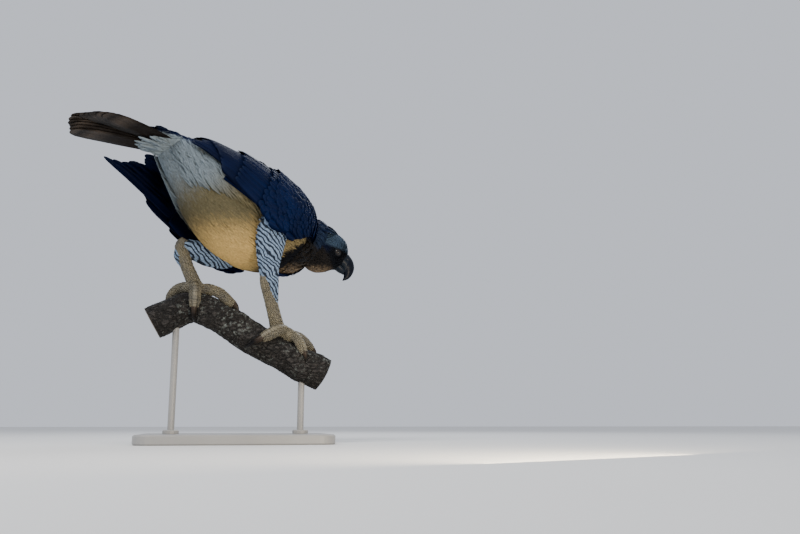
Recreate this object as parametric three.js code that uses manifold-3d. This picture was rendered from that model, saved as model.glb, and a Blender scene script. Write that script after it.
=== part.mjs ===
// Harpy eagle, life size, leaning forward and looking down from a short length of branch, which a
// plain display stand holds up. Millimetres, +Z up. The origin is the middle of the stand base's
// underside, the bird looks towards +X, and its right side is towards -Y.
import * as THREE from 'three';
import { mergeVertices } from 'three/addons/utils/BufferGeometryUtils.js';
import Module from 'manifold-3d';

const wasm = await Module();
wasm.setup();

// Clearance between pieces that touch
const GAP = 0.35;

// Places and bearings of the body and the head: forward along the spine, up towards the back
const BODY = { origin: [-30, 0, 575], forward: [0.762, 0.361, -0.539], up: [0.295, 0.46, 0.837] };
const HEAD = { origin: [223, 79, 484], forward: [0.835, 0.072, -0.545], up: [0.579, 0.138, 0.803] };

// Torso sections along the spine: distance forward, rise of the middle, half width, top, bottom
const TORSO_ROWS = [
  [-232, 14, 28, 22, 30],
  [-195, 18, 50, 34, 54],
  [-138, 15, 77, 52, 82],
  [-64, 6, 104, 78, 110],
  [21, 0, 119, 107, 127],
  [95, 0, 118, 112, 115],
  [148, 4, 106, 102, 93],
  [180, 9, 88, 86, 70],
  [202, 14, 64, 64, 50],
];
const TORSO_RINGS = 14;
const TORSO_SIDES = 20;

// Neck sections from the chest to the back of the head: radius across, top and bottom
const NECK_ROWS = [[76, 78, 50], [70, 72, 48], [60, 63, 56], [48, 53, 62]];
const NECK_START = [160, 0, 12];
const NECK_END = [-22, 0, -2];

// Head sections: distance forward, rise of the middle, half width, top, bottom
const HEAD_ROWS = [
  [-64, 2, 22, 24, 36],
  [-50, 1, 37, 39, 58],
  [-28, 0, 44, 50, 68],
  [-4, 0, 44, 53, 65],
  [15, 0, 40, 51, 51],
  [28, -1, 31, 43, 33],
  [38, -1, 21, 33, 25],
];
// Shaping of the face: place forward and up, how far it spreads, how far it stands out
const FACE_SHAPES = [
  { at: [22, 17], spread: [17, 6], out: 5 },
  { at: [14, 5], spread: [11, 8], out: -5 },
  { at: [28, 1], spread: [8, 7], out: -3 },
  { at: [-22, -14], spread: [16, 14], out: 4 },
];
const EYE = { at: [14, 31, 5], radius: 11.5, lid: 2.4, lidOut: 3.4 };
const BILL = {
  line: [[28, 0, 6], [48, 0, 8], [64, 0, 3], [74, 0, -10], [76, 0, -25], [71, 0, -38]],
  sizes: [[15, 24, 15], [13.5, 20, 14], [11, 14, 11], [7.5, 8, 8], [4, 4, 4.5], [0.9, 0.9, 0.9]],
  rings: 12,
};
const LOWER_BILL = {
  line: [[18, 0, -15], [44, 0, -16], [60, 0, -20], [66, 0, -23]],
  sizes: [[13, 5, 9], [10.5, 4, 7], [6.5, 3, 4.5], [1.5, 1, 1.5]],
  rings: 8,
};
const NOSTRIL = { at: [43, 9, 9], radius: 2.4, depth: 9, tilt: 0.2 };
const MOUTH_LINE = [[2, 37], [18, 31], [32, 21], [70, 12], [70, 70], [2, 70]];
const MOUTH = { level: -13.4, height: 1 };

// Crest: two fans of long feathers laid back over the nape
const CREST = {
  feathers: 6, root: [-4, -30], out: [12, 28], length: [84, 56], fan: [4, 30], width: 21, thickness: 2,
  stations: 5, nape: -44, droop: 0.32, curl: 7, pad: [-14, 18, 46], padRadii: [27, 15.5, 8],
};

// Folded wing surface along the spine: distance forward, middle out, middle up, reach out, reach up
const WING_ROWS = [
  [190, -6, 0, 114, 114],
  [150, 0, 0, 136, 132],
  [100, 2, 0, 146, 140],
  [40, 2, 0, 147, 137],
  [-20, 0, 3, 143, 131],
  [-90, -6, 6, 134, 119],
  [-170, -24, 6, 126, 104],
  [-245, -52, -10, 112, 92],
  [-312, -70, -22, 104, 80],
];
// How far each wing hangs off the body at its wrist and its tip, out to the side and down, and how
// much further forward the feathers of each tier end
const WING_HANG = {
  left: { out: [4, 60], drop: [-24, 64], trim: [14, 14, 0, 0] },
  right: { out: [0, 0], drop: [0, 0], trim: [116, 60, 0, 0] },
};
const WRIST = 180;
const WING_TIP = -312;
const ARM = {
  front: 184, back: -78, rings: 12, steps: 7, thickness: 26, edge: 5, skin: -3, taper: 22, taperFrom: 30,
  low: [-30, -19], high: [82, 82], frontLow: 10, frontHigh: 40,
};
// Feather tiers from the wing's edge to the shoulder: count, roots, tips, bearings round the body
// from low to high at root and tip, lift off the wing surface, width and thickness
const TIERS = [
  { count: 6, root: [10, -34], tip: [-312, -262], rootAngle: [-12, 14], tipAngle: [6, 34],
    lift: -24, width: 42, thickness: 1.5, stations: 5 },
  { count: 7, root: [10, -34], tip: [-166, -262], rootAngle: [-20, 70], tipAngle: [-15, 42],
    lift: -15.5, width: 50, thickness: 1.5, stations: 5 },
  { count: 7, root: [52, 34], tip: [-66, -88], rootAngle: [-24, 72], tipAngle: [-20, 66],
    lift: -7, width: 50, thickness: 1.5, stations: 4 },
  { count: 6, root: [108, 98], tip: [8, -4], rootAngle: [-26, 74], tipAngle: [-23, 70],
    lift: 1, width: 60, thickness: 1.5, stations: 4 },
];

// Tail: place of its root on the body, how far it is bent down and turned to the right, its feathers,
// and the block that they grow from
const TAIL = {
  root: [-205, 0, 22], bend: 50, turn: 23, length: 345, feathers: 12, width: 46, fan: 5, step: 1.7,
  thickness: 1.3, droop: 14, rounding: 0.1, rootSpread: 20, start: 20, blockLevel: -4,
};
const TAIL_BLOCK = [[-34, 34, 20, 22], [0, 44, 25, 32], [40, 42, 21, 30], [80, 38, 12, 22]];
const TAIL_COVERTS = [
  { count: 5, length: [150, 120], level: 12, width: 42, fan: 20, step: 1.7, rootSpread: 24, start: 10 },
  { count: 5, length: [190, 150], level: -24, width: 44, fan: 18, step: -1.7, rootSpread: 24, start: 10 },
];

// Branch: middle line and radius
const BRANCH_LINE = [
  [-205, 0, 280, 40], [-160, 2, 305, 39], [-107, 3, 321, 38], [-47, 0, 295, 37],
  [26, -3, 252, 38], [95, -4, 216, 39], [150, 0, 190, 40], [205, 6, 162, 41],
];
const BRANCH = { rings: 24, sides: 14 };
// Knots on the branch: place along it, bearing round it, spread along and round, height
const KNOTS = [
  [0.06, 200, 0.05, 40, 9], [0.2, 30, 0.04, 30, 5], [0.36, 320, 0.05, 34, 8], [0.5, 60, 0.05, 30, 6],
  [0.62, 210, 0.06, 40, 8], [0.93, 40, 0.05, 36, 9], [0.86, 300, 0.05, 34, 7],
];

// Legs: points down the thigh with half sizes along and across, then the bare shank
const LEGS = {
  right: {
    thigh: [[48, -52, 545, 50, 38], [64, -66, 510, 46, 40], [64, -67, 478, 39, 34],
      [62, -63, 440, 31, 27], [63, -58, 408, 20, 20], [66, -54, 376, 12, 12]],
    thighAcross: [-0.3, -0.95, 0],
    shank: [[60, -56, 404], [60, -51, 380], [72, -35, 333], [85, -22, 288], [89, -17, 272]],
    place: 0.705, bearing: 86,
  },
  left: {
    thigh: [[10, 40, 505, 48, 42], [-38, 47, 470, 48, 42], [-78, 44, 462, 38, 35],
      [-112, 39, 468, 28, 27], [-138, 33, 478, 20, 20], [-149, 30, 484, 14, 14]],
    thighAcross: [0.1, -0.7, 0.7],
    shank: [[-138, 34, 486], [-147, 29, 472], [-136, 20, 434], [-118, 9, 392], [-108, 3, 368]],
    place: 0.275, bearing: 90,
  },
};
const SHANK = { sizes: [[15, 16, 16], [16, 18, 18], [14, 17, 17], [15, 17, 17], [18, 19, 19]],
  rings: 17, sides: 10, scutes: 8, scuteHeight: 0.09 };
const FOOT_PAD = { radii: [30, 25, 17], lift: 8 };
// Toes laid on the branch from the foot: way along the branch, turn round it, thickness, claw length
const TOES = {
  right: {
    hind: { along: -0.085, turn: -78, radius: 13, claw: 74 },
    inner: { along: 0.05, turn: 82, radius: 12.5, claw: 60 },
    middle: { along: 0.17, turn: 26, radius: 12, claw: 50 },
    outer: { along: 0.125, turn: -58, radius: 11, claw: 42 },
  },
  left: {
    hind: { along: -0.115, turn: 40, radius: 13, claw: 74 },
    inner: { along: 0.012, turn: -94, radius: 12.5, claw: 62 },
    middle: { along: 0.17, turn: -18, radius: 12, claw: 50 },
    outer: { along: 0.07, turn: 74, radius: 11, claw: 42 },
  },
};
const TOE = {
  rings: 11, sides: 8, scutes: 6, scuteHeight: 0.1, rest: 0.72, arch: 0.55,
  parts: [0.12, 0.3, 0.5, 0.7, 0.88, 1], sizes: [1.12, 1.06, 1, 1.02, 0.94, 0.74],
};
const CLAW = { rings: 6, sides: 8, sink: 10, sizes: [0.72, 0.66, 0.5, 0.32, 0.06], bend: [-12, 39], flat: 0.86 };

// Display stand
const BASE = { length: 440, width: 340, height: 22, corner: 40, bevel: 3 };
const RODS = {
  left: -150, right: 150, radius: 8, collarRadius: 19, collarHeight: 9, collarEdge: 2, sides: 14,
};

// Finishes
const SLATE = { color: 0x2c3442, roughness: 0.75, metalness: 0 };
const WHITE = { color: 0xe2ded3, roughness: 0.85, metalness: 0 };
const PALE_GREY = { color: 0x8f98a3, roughness: 0.85, metalness: 0 };
const HORN = { color: 0x1c1d20, roughness: 0.35, metalness: 0 };
const SKIN = { color: 0xb7a55e, roughness: 0.6, metalness: 0 };
const IRIS = { color: 0x1a1714, roughness: 0.08, metalness: 0 };
const BARK = { color: 0x4d463c, roughness: 0.95, metalness: 0 };
const STAND_PAINT = { color: 0x2b2c2e, roughness: 0.5, metalness: 0 };

const vec = (list) => new THREE.Vector3(...list);
const radians = THREE.MathUtils.degToRad;
const mix = THREE.MathUtils.lerp;

// The matrix of a frame with x forward, y to the left and z up, at an origin
function frameMatrix({ origin, forward, up }) {
  const x = vec(forward).normalize();
  const y = vec(up).cross(x).normalize();
  const z = new THREE.Vector3().crossVectors(x, y);
  return new THREE.Matrix4().makeBasis(x, y, z).setPosition(vec(origin));
}

const bodyFrame = frameMatrix(BODY);
const headFrame = frameMatrix(HEAD);

// The tail frame: x towards the tail's tip, y to the bird's right, z towards its back
function tailMatrix() {
  const [bend, turn] = [radians(TAIL.bend), radians(TAIL.turn)];
  const toTip = [-Math.cos(bend) * Math.cos(turn), -Math.sin(turn), -Math.sin(bend) * Math.cos(turn)];
  const back = [-Math.sin(bend), 0, Math.cos(bend)];
  return bodyFrame.clone().multiply(frameMatrix({ origin: TAIL.root, forward: toTip, up: back }));
}
const tailFrame = tailMatrix();

// A point given in a frame, as a point of the whole model
const placed = (frame, x, y, z) => new THREE.Vector3(x, y, z).applyMatrix4(frame);

// A smooth row between listed rows, by Catmull-Rom on each column; at runs from 0 to the last index
function rowAt(rows, at) {
  const last = rows.length - 1;
  const i = Math.min(Math.max(Math.floor(at), 0), last - 1);
  const t = at - i;
  const [a, b, c, d] = [-1, 0, 1, 2].map((k) => rows[Math.min(Math.max(i + k, 0), last)]);
  return b.map((_, k) => {
    const square = (2 * a[k] - 5 * b[k] + 4 * c[k] - d[k]) * t * t;
    const cube = (3 * b[k] - a[k] - 3 * c[k] + d[k]) * t ** 3;
    return 0.5 * (2 * b[k] + (c[k] - a[k]) * t + square + cube);
  });
}

// The row at a given distance forward, in rows that run from front to back
function rowFor(rows, distance) {
  const last = rows.length - 1;
  let i = rows.findIndex((row) => row[0] <= distance);
  if (i < 0) i = last;
  i = Math.max(i, 1);
  const part = (rows[i - 1][0] - distance) / (rows[i - 1][0] - rows[i][0]);
  return rowAt(rows, Math.min(Math.max(i - 1 + part, 0), last));
}

// A closed solid from points and triangles, with its faces turned outwards
function solid(points, faces) {
  const vertProperties = new Float32Array(points.flatMap((p) => [p.x, p.y, p.z]));
  const build = (list) => new wasm.Manifold(
    new wasm.Mesh({ numProp: 3, vertProperties, triVerts: new Uint32Array(list.flat()) }));
  const made = build(faces);
  return made.volume() > 0 ? made : build(faces.map(([a, b, c]) => [a, c, b]));
}

// A closed solid from a three.js geometry, moved by a matrix
function fromGeometry(geometry, matrix = new THREE.Matrix4()) {
  geometry.deleteAttribute('normal');
  geometry.deleteAttribute('uv');
  const merged = mergeVertices(geometry, 1e-3).applyMatrix4(matrix);
  const place = merged.getAttribute('position');
  const pointOf = (_, i) => new THREE.Vector3().fromBufferAttribute(place, i);
  const points = Array.from({ length: place.count }, pointOf);
  const index = Array.from(merged.index.array);
  const faces = [];
  for (let i = 0; i < index.length; i += 3) {
    const [a, b, c] = index.slice(i, i + 3);
    if (a !== b && b !== c && c !== a) faces.push([a, b, c]);
  }
  return solid(points, faces);
}

// A closed solid through rings of an even number of points, capped by strips between the two halves
// of a ring. Twin faces split both sides of a thin vane alike: the second half of each ring takes the
// other diagonal.
function loft(rings, twinFaces = false) {
  const count = rings[0].length;
  const faces = [];
  for (let i = 0; i + 1 < rings.length; i += 1) {
    for (let j = 0; j < count; j += 1) {
      const a = i * count + j;
      const b = i * count + ((j + 1) % count);
      const [c, d] = [a + count, b + count];
      if (twinFaces && j >= count / 2) faces.push([a, b, c], [b, d, c]);
      else faces.push([a, b, d], [a, d, c]);
    }
  }
  const last = (rings.length - 1) * count;
  for (let j = 0; j < count / 2 - 1; j += 1) {
    const [a, b, c, d] = [j, j + 1, count - 2 - j, count - 1 - j];
    faces.push([b, a, d], [c, b, d], [last + a, last + b, last + d], [last + b, last + c, last + d]);
  }
  return solid(rings.flat(), faces);
}

// One ring round a middle: half width across, and its own height above and below
function ring(middle, across, top, [half, rise, drop], sides) {
  return Array.from({ length: sides }, (_, j) => {
    const angle = (2 * Math.PI * j) / sides;
    const up = Math.sin(angle) * (Math.sin(angle) > 0 ? rise : drop);
    return middle.clone().addScaledVector(across, Math.cos(angle) * half).addScaledVector(top, up);
  });
}

// A tube along a smooth line through points; sizes are rows of half width, rise and drop, across
// gives the way of the width at each point, and swell scales the rise along the tube
function tube(points, sizes, rings, sides, across, { grow = 0, swell = () => 1 } = {}) {
  const curve = new THREE.CatmullRomCurve3(points);
  const rows = Array.from({ length: rings }, (_, i) => {
    const t = i / (rings - 1);
    const middle = curve.getPoint(t);
    const tangent = curve.getTangent(t);
    const wide = typeof across === 'function' ? across(middle, tangent) : across;
    const top = new THREE.Vector3().crossVectors(tangent, wide).normalize();
    const side = new THREE.Vector3().crossVectors(top, tangent);
    const end = i === 0 ? -grow : i === rings - 1 ? grow : 0;
    const [half, rise, drop] = rowAt(sizes, t * (sizes.length - 1)).map((v) => Math.max(v, 0.5) + grow);
    const factor = swell(t);
    const scaled = [half * mix(1, factor, 0.5), rise * factor, drop];
    return ring(middle.addScaledVector(tangent, end), side, top, scaled, sides);
  });
  return loft(rows);
}

// A loft along the x of a frame through rows of distance, rise of the middle, half width, top, bottom
function bodyLoft(frame, rows, rings, sides, grow, shape = (p) => p) {
  const across = new THREE.Vector3(0, 1, 0);
  const top = new THREE.Vector3(0, 0, 1);
  const made = Array.from({ length: rings }, (_, i) => {
    const [x, rise, half, up, down] = rowAt(rows, (i / (rings - 1)) * (rows.length - 1));
    const end = i === 0 ? -grow : i === rings - 1 ? grow : 0;
    const middle = new THREE.Vector3(x + end, 0, rise);
    const points = ring(middle, across, top, [half + grow, up + grow, down + grow], sides);
    return points.map((p) => shape(p).applyMatrix4(frame));
  });
  return loft(made);
}

// The largest closed body of a solid
function largest(made) {
  const bodies = made.decompose();
  return bodies.reduce((best, body) => (body.volume() > best.volume() ? body : best));
}

const joined = (list) => list.reduce((all, one) => all.add(one));
const move = (...place) => new THREE.Matrix4().makeTranslation(...place);
const inHead = (...moves) => moves.reduce((all, one) => all.multiply(one), headFrame.clone());
const cut = (made, ...cutters) => largest(cutters.reduce((left, one) => left.subtract(one), made));

// Torso, neck and head

const torsoSolid = (grow = 0) => bodyLoft(bodyFrame, TORSO_ROWS, TORSO_RINGS, TORSO_SIDES, grow);

function shapeFace(p) {
  const side = Math.sign(p.y);
  FACE_SHAPES.forEach(({ at, spread, out }) => {
    const far = ((p.x - at[0]) / spread[0]) ** 2 + ((p.z - at[1]) / spread[1]) ** 2;
    p.y += side * out * Math.exp(-far) * Math.min(Math.abs(p.y) / 15, 1);
  });
  return p;
}
const skullSolid = (grow = 0) => bodyLoft(headFrame, HEAD_ROWS, 13, 18, grow, shapeFace);

function neckSolid(grow = 0) {
  const start = placed(bodyFrame, ...NECK_START);
  const end = placed(headFrame, ...NECK_END);
  const leave = placed(bodyFrame, 1, 0, 0).sub(placed(bodyFrame, 0, 0, 0));
  const arrive = placed(headFrame, 1, 0, 0).sub(placed(headFrame, 0, 0, 0));
  const third = start.distanceTo(end) / 3;
  const bend = [start.clone().addScaledVector(leave, third), end.clone().addScaledVector(arrive, -third)];
  const left = placed(bodyFrame, 0, 1, 0).sub(placed(bodyFrame, 0, 0, 0));
  return tube([start, ...bend, end], NECK_ROWS, 7, 16, left, { grow });
}

const eyeSphere = (side, grow = 0) => fromGeometry(
  new THREE.SphereGeometry(EYE.radius + grow, 12, 8),
  move(...placed(headFrame, EYE.at[0], side * EYE.at[1], EYE.at[2])));

function lidRing(side) {
  const lid = new THREE.TorusGeometry(EYE.radius - 0.6, EYE.lid, 6, 12);
  const turn = new THREE.Matrix4().makeRotationX(-side * Math.PI / 2);
  return fromGeometry(lid, inHead(move(EYE.at[0], side * (EYE.at[1] + EYE.lidOut), EYE.at[2]), turn));
}

function mouthSlit(side) {
  const outline = new THREE.Shape(MOUTH_LINE.map(([x, y]) => new THREE.Vector2(x, side * y)));
  const slit = new THREE.ExtrudeGeometry(outline, { depth: MOUTH.height, bevelEnabled: false });
  return fromGeometry(slit, inHead(move(0, 0, MOUTH.level)));
}

function headSolid() {
  const sides = [-1, 1];
  const face = joined([skullSolid(), ...sides.map(lidRing)]);
  return cut(face, ...sides.map((side) => eyeSphere(side, GAP)), ...sides.map(mouthSlit));
}

function billSolid({ line, sizes, rings }, grow = 0) {
  const left = placed(headFrame, 0, 1, 0).sub(placed(headFrame, 0, 0, 0));
  return tube(line.map((p) => placed(headFrame, ...p)), sizes, rings, 14, left, { grow });
}

function nostril(side) {
  const { at, radius, depth } = NOSTRIL;
  const hole = new THREE.CylinderGeometry(radius, radius * 0.6, depth, 8);
  hole.scale(1.3, 1, 0.8);
  const turn = new THREE.Matrix4().makeRotationX(side * NOSTRIL.tilt);
  return fromGeometry(hole, inHead(move(at[0], side * (at[1] + depth / 2), at[2]), turn));
}

// A vane on a surface: pointAt gives the surface's point a part of the way along the vane and some
// way across it, and faceAt the way it faces there. It is thickest along its shaft.
const VANE_SHAPES = {
  5: [[0, 0.5], [0.28, 0.9], [0.6, 1], [0.88, 0.76], [1, 0.3]],
  4: [[0, 0.6], [0.45, 1], [0.85, 0.8], [1, 0.3]],
};
function vane({ pointAt, faceAt, width, thickness, stations }) {
  const rings = VANE_SHAPES[stations].map(([t, part]) => {
    const half = (width / 2) * part;
    const face = faceAt(t);
    const put = (off, up) => pointAt(t, off).addScaledVector(face, up);
    const [shaft, edge] = [thickness / 2, thickness * 0.24];
    const upper = [put(half, edge), put(0, shaft), put(-half, edge)];
    return [...upper, put(-half, -edge), put(0, -shaft), put(half, -edge)];
  });
  return loft(rings, true);
}

// The height of the crown at a place on the head
function crownAt(x, y) {
  const [first, last] = [HEAD_ROWS[0][0], HEAD_ROWS[HEAD_ROWS.length - 1][0]];
  const part = THREE.MathUtils.clamp((x - first) / (last - first), 0, 1);
  const [, rise, half, up] = rowAt(HEAD_ROWS, part * (HEAD_ROWS.length - 1));
  return rise + up * Math.sqrt(Math.max(1 - (y / (half + 8)) ** 2, 0.1));
}

// One crest feather: it leaves the crown, lies along the nape and lifts a little at its tip
function crestFeather(side, k) {
  const part = k / (CREST.feathers - 1);
  const fan = radians(mix(...CREST.fan, part)) * side;
  const startX = mix(...CREST.root, part);
  const startY = side * mix(...CREST.out, part);
  const length = mix(...CREST.length, part);
  const pointAt = (t, off) => {
    const x = startX - length * t * Math.cos(fan) + off * Math.sin(fan);
    const y = startY + length * t * Math.sin(fan) + off * Math.cos(fan);
    const past = Math.max(CREST.nape - x, 0);
    const lie = crownAt(Math.max(x, CREST.nape), y) - past * CREST.droop;
    const lift = mix(-5, 3 + 2.4 * (k % 3), Math.min(t * 3, 1)) + CREST.curl * t * t;
    return placed(headFrame, x, y, lie + lift);
  };
  const faceAt = () => new THREE.Vector3(-0.2, 0, 1).transformDirection(headFrame);
  return vane({ ...CREST, pointAt, faceAt });
}

// The crest's root: a low pad on the crown that the feathers grow from
function crestSolid(side) {
  const [x, y, z] = CREST.pad;
  const place = inHead(move(x, side * y, z), new THREE.Matrix4().makeScale(...CREST.padRadii));
  const pad = fromGeometry(new THREE.SphereGeometry(1, 12, 8), place);
  const feathers = Array.from({ length: CREST.feathers }, (_, k) => crestFeather(side, k));
  return joined([pad, ...feathers]);
}

// Wings

// A point of a folded wing: distance forward, bearing round the body and lift off the surface
function wingPoint(name, x, bearing, lift) {
  const [, out, up, reachOut, reachUp] = rowFor(WING_ROWS, x);
  const back = Math.max((WRIST - x) / (WRIST - WING_TIP), 0);
  const hang = WING_HANG[name];
  const side = name === 'left' ? 1 : -1;
  const angle = radians(bearing);
  const y = out + mix(...hang.out, back) + (reachOut + lift) * Math.cos(angle);
  const z = up - mix(...hang.drop, back) + (reachUp + lift) * Math.sin(angle);
  return placed(bodyFrame, x, side * y, z);
}

// How far one feather of a tier lies over the next
const SHINGLE = 2.1;

// The feathered arm, a curved slab over the flank that thins towards its edges and its back end
function armSolid(name) {
  const { front, back, rings, steps, thickness, edge, skin, taper, taperFrom } = ARM;
  const { low, high, frontLow, frontHigh } = ARM;
  const made = Array.from({ length: rings }, (_, i) => {
    const t = i / (rings - 1);
    const x = mix(front, back, t);
    const close = Math.sin(Math.PI * Math.min(t * 2.6 + 0.14, 0.5));
    const top = skin - THREE.MathUtils.clamp((taperFrom - x) / (taperFrom - back), 0, 1) * taper;
    const from = mix(frontLow, mix(...low, t), close);
    const to = mix(frontHigh, mix(...high, t), close);
    const bearings = Array.from({ length: steps }, (_, j) => mix(from, to, j / (steps - 1)));
    const outer = bearings.map((b) => wingPoint(name, x, b, top));
    const inner = bearings.map((b, j) => {
      const rim = Math.sin((Math.PI * j) / (steps - 1)) ** 0.6;
      return wingPoint(name, x, b, top - mix(edge, mix(thickness, edge * 2, t * t), rim));
    });
    return [...outer, ...inner.reverse()];
  });
  return loft(made);
}

function wingFeather(name, tier, k) {
  const part = k / (tier.count - 1);
  const trim = WING_HANG[name].trim[TIERS.indexOf(tier)];
  const [x0, x1] = [mix(...tier.root, part), mix(...tier.tip, part) + trim];
  const [a0, a1] = [mix(...tier.rootAngle, part), mix(...tier.tipAngle, part)];
  const spread = (angles) => (angles[1] - angles[0]) / (tier.count - 1);
  const pointAt = (t, off) => {
    const x = mix(x0, x1, t);
    const reach = rowFor(WING_ROWS, x)[3] + tier.lift;
    const turn = THREE.MathUtils.radToDeg(off / reach);
    const slope = SHINGLE / mix(spread(tier.rootAngle), spread(tier.tipAngle), t);
    return wingPoint(name, x, mix(a0, a1, t) + turn, tier.lift + slope * turn);
  };
  const faceAt = (t) => {
    const [x, bearing] = [mix(x0, x1, t), mix(a0, a1, t)];
    return wingPoint(name, x, bearing, 1).sub(wingPoint(name, x, bearing, 0)).normalize();
  };
  return vane({ ...tier, pointAt, faceAt });
}

function wingSolid(name) {
  const row = (tier) => Array.from({ length: tier.count }, (_, k) => wingFeather(name, tier, k));
  return joined([armSolid(name), ...TIERS.flatMap(row)]);
}

// Tail

// One tail vane: reach along the tail, turn to the side, level under the back
function tailVane(turn, length, level, startY, width, start) {
  const angle = radians(turn);
  const across = new THREE.Vector3(-Math.sin(angle), Math.cos(angle), 0).transformDirection(tailFrame);
  const pointAt = (t, off) => {
    const far = mix(start, length, t);
    const height = level - TAIL.droop * (far / TAIL.length) ** 2;
    const shaft = placed(tailFrame, far * Math.cos(angle), startY + far * Math.sin(angle), height);
    return shaft.addScaledVector(across, off);
  };
  const faceAt = () => new THREE.Vector3(0, 0, 1).transformDirection(tailFrame);
  return vane({ pointAt, faceAt, width, thickness: TAIL.thickness, stations: 4 });
}

// The place of a tail feather in the stack: the middle pair on top, and left and right take turns
const stackRank = (i, middle) => 2 * Math.abs(i - middle) - (i < middle ? 1 : 0);

function tailBlock(grow = 0) {
  const across = new THREE.Vector3(0, -1, 0).transformDirection(tailFrame);
  const line = TAIL_BLOCK.map(([x]) => placed(tailFrame, x, 0, TAIL.blockLevel));
  return tube(line, TAIL_BLOCK.map(([, wide, up, down]) => [wide, up, down]), 7, 14, across, { grow });
}

function tailSolid() {
  const half = (TAIL.feathers - 1) / 2;
  const feathers = Array.from({ length: TAIL.feathers }, (_, i) => {
    const off = (i - half) / half;
    const level = -stackRank(i, half) * TAIL.step;
    const length = TAIL.length * (1 - TAIL.rounding * off * off);
    return tailVane(off * TAIL.fan, length, level, off * TAIL.rootSpread, TAIL.width, TAIL.start);
  });
  const coverts = TAIL_COVERTS.flatMap(({ count, length, level, width, fan, step, rootSpread, start }) => {
    const middle = (count - 1) / 2;
    return Array.from({ length: count }, (_, i) => {
      const off = (i - middle) / middle;
      const far = mix(length[0], length[1], Math.abs(off));
      const height = level - stackRank(i, middle) * step;
      return tailVane(off * fan, far, height, off * rootSpread, width, start);
    });
  });
  return joined([tailBlock(), ...feathers, ...coverts]);
}

// Branch

const branchCurve = new THREE.CatmullRomCurve3(BRANCH_LINE.map((row) => vec(row.slice(0, 3))));

// A point of the branch: place along it from 0 to 1, bearing round it with 0 towards the viewer's
// side and 90 on top, and lift off the bark
function branchPoint(place, bearing, lift) {
  const middle = branchCurve.getPoint(place);
  const tangent = branchCurve.getTangent(place);
  const near = new THREE.Vector3(0, -1, 0).addScaledVector(tangent, tangent.y).normalize();
  const up = new THREE.Vector3().crossVectors(near, tangent).normalize().negate();
  if (up.z < 0) up.negate();
  const angle = radians(bearing);
  const radius = rowAt(BRANCH_LINE, place * (BRANCH_LINE.length - 1))[3] + lift;
  near.multiplyScalar(Math.cos(angle) * radius);
  return middle.add(near).addScaledVector(up, Math.sin(angle) * radius);
}

function barkRelief(place, bearing) {
  const angle = radians(bearing);
  const ridges = 1.4 * Math.sin(3 * angle + 9 * place) + 1.1 * Math.sin(5 * angle - 17 * place);
  return KNOTS.reduce((sum, [at, turn, along, round, height]) => {
    const off = ((bearing - turn + 540) % 360) - 180;
    return sum + height * Math.exp(-(((place - at) / along) ** 2) - (off / round) ** 2);
  }, ridges);
}

function branchSolid(grow = 0) {
  const rings = Array.from({ length: BRANCH.rings }, (_, i) => {
    const place = i / (BRANCH.rings - 1);
    return Array.from({ length: BRANCH.sides }, (_, j) => {
      const bearing = (360 * j) / BRANCH.sides;
      return branchPoint(place, bearing, barkRelief(place, bearing) + grow);
    });
  });
  return loft(rings);
}

// Legs and feet

function thighSolid(name, grow = 0) {
  const leg = LEGS[name];
  const points = leg.thigh.map((row) => vec(row.slice(0, 3)));
  const sizes = leg.thigh.map(([, , , along, across]) => [across, along, along]);
  return tube(points, sizes, 10, 14, vec(leg.thighAcross), { grow });
}

// A sawtooth that raises each scute towards its lower edge
const scuteSwell = (count, height) => (t) => 1 + height * (((t * count) % 1) - 0.5);

function shankSolid(name, grow = 0) {
  const points = LEGS[name].shank.map(vec);
  const swell = scuteSwell(SHANK.scutes, grow > 0 ? 0 : SHANK.scuteHeight);
  return tube(points, SHANK.sizes, SHANK.rings, SHANK.sides, new THREE.Vector3(-1, 0, 0), { grow, swell });
}

function footPad(name, grow = 0) {
  const { place, bearing } = LEGS[name];
  const [a, b, c] = FOOT_PAD.radii;
  const matrix = frameMatrix({
    origin: branchPoint(place, bearing, FOOT_PAD.lift).toArray(),
    forward: branchCurve.getTangent(place).toArray(),
    up: branchPoint(place, bearing, 10).sub(branchPoint(place, bearing, 0)).toArray(),
  }).multiply(new THREE.Matrix4().makeScale(a + grow, b + grow, c + grow));
  return fromGeometry(new THREE.SphereGeometry(1, 12, 8), matrix);
}

// The way outwards from the branch's middle line at a point near it
function barkNormal(point, place) {
  return point.clone().sub(branchCurve.getPoint(place)).normalize();
}

// Points of a toe and its claw on the branch: part runs from 0 at the foot to 1 at the toe's end
function toePoint(name, toe, part) {
  const { place, bearing } = LEGS[name];
  const { along, turn, radius } = TOES[name][toe];
  const arch = radius * (TOE.rest + TOE.arch * Math.sin(Math.PI * part) ** 2);
  return branchPoint(place + along * part, bearing + turn * part ** 1.1, arch);
}

function toeSolid(name, toe, grow = 0) {
  const { radius } = TOES[name][toe];
  const points = TOE.parts.map((part) => toePoint(name, toe, part));
  const sizes = TOE.sizes.map((size) => [radius * size, radius * size, radius * size * 0.9]);
  const { place } = LEGS[name];
  const { along } = TOES[name][toe];
  const across = (middle, tangent) => barkNormal(middle, place + along * 0.5).cross(tangent).normalize();
  const swell = scuteSwell(TOE.scutes, grow > 0 ? 0 : TOE.scuteHeight);
  return tube(points, sizes, TOE.rings, TOE.sides, across, { grow, swell });
}

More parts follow.
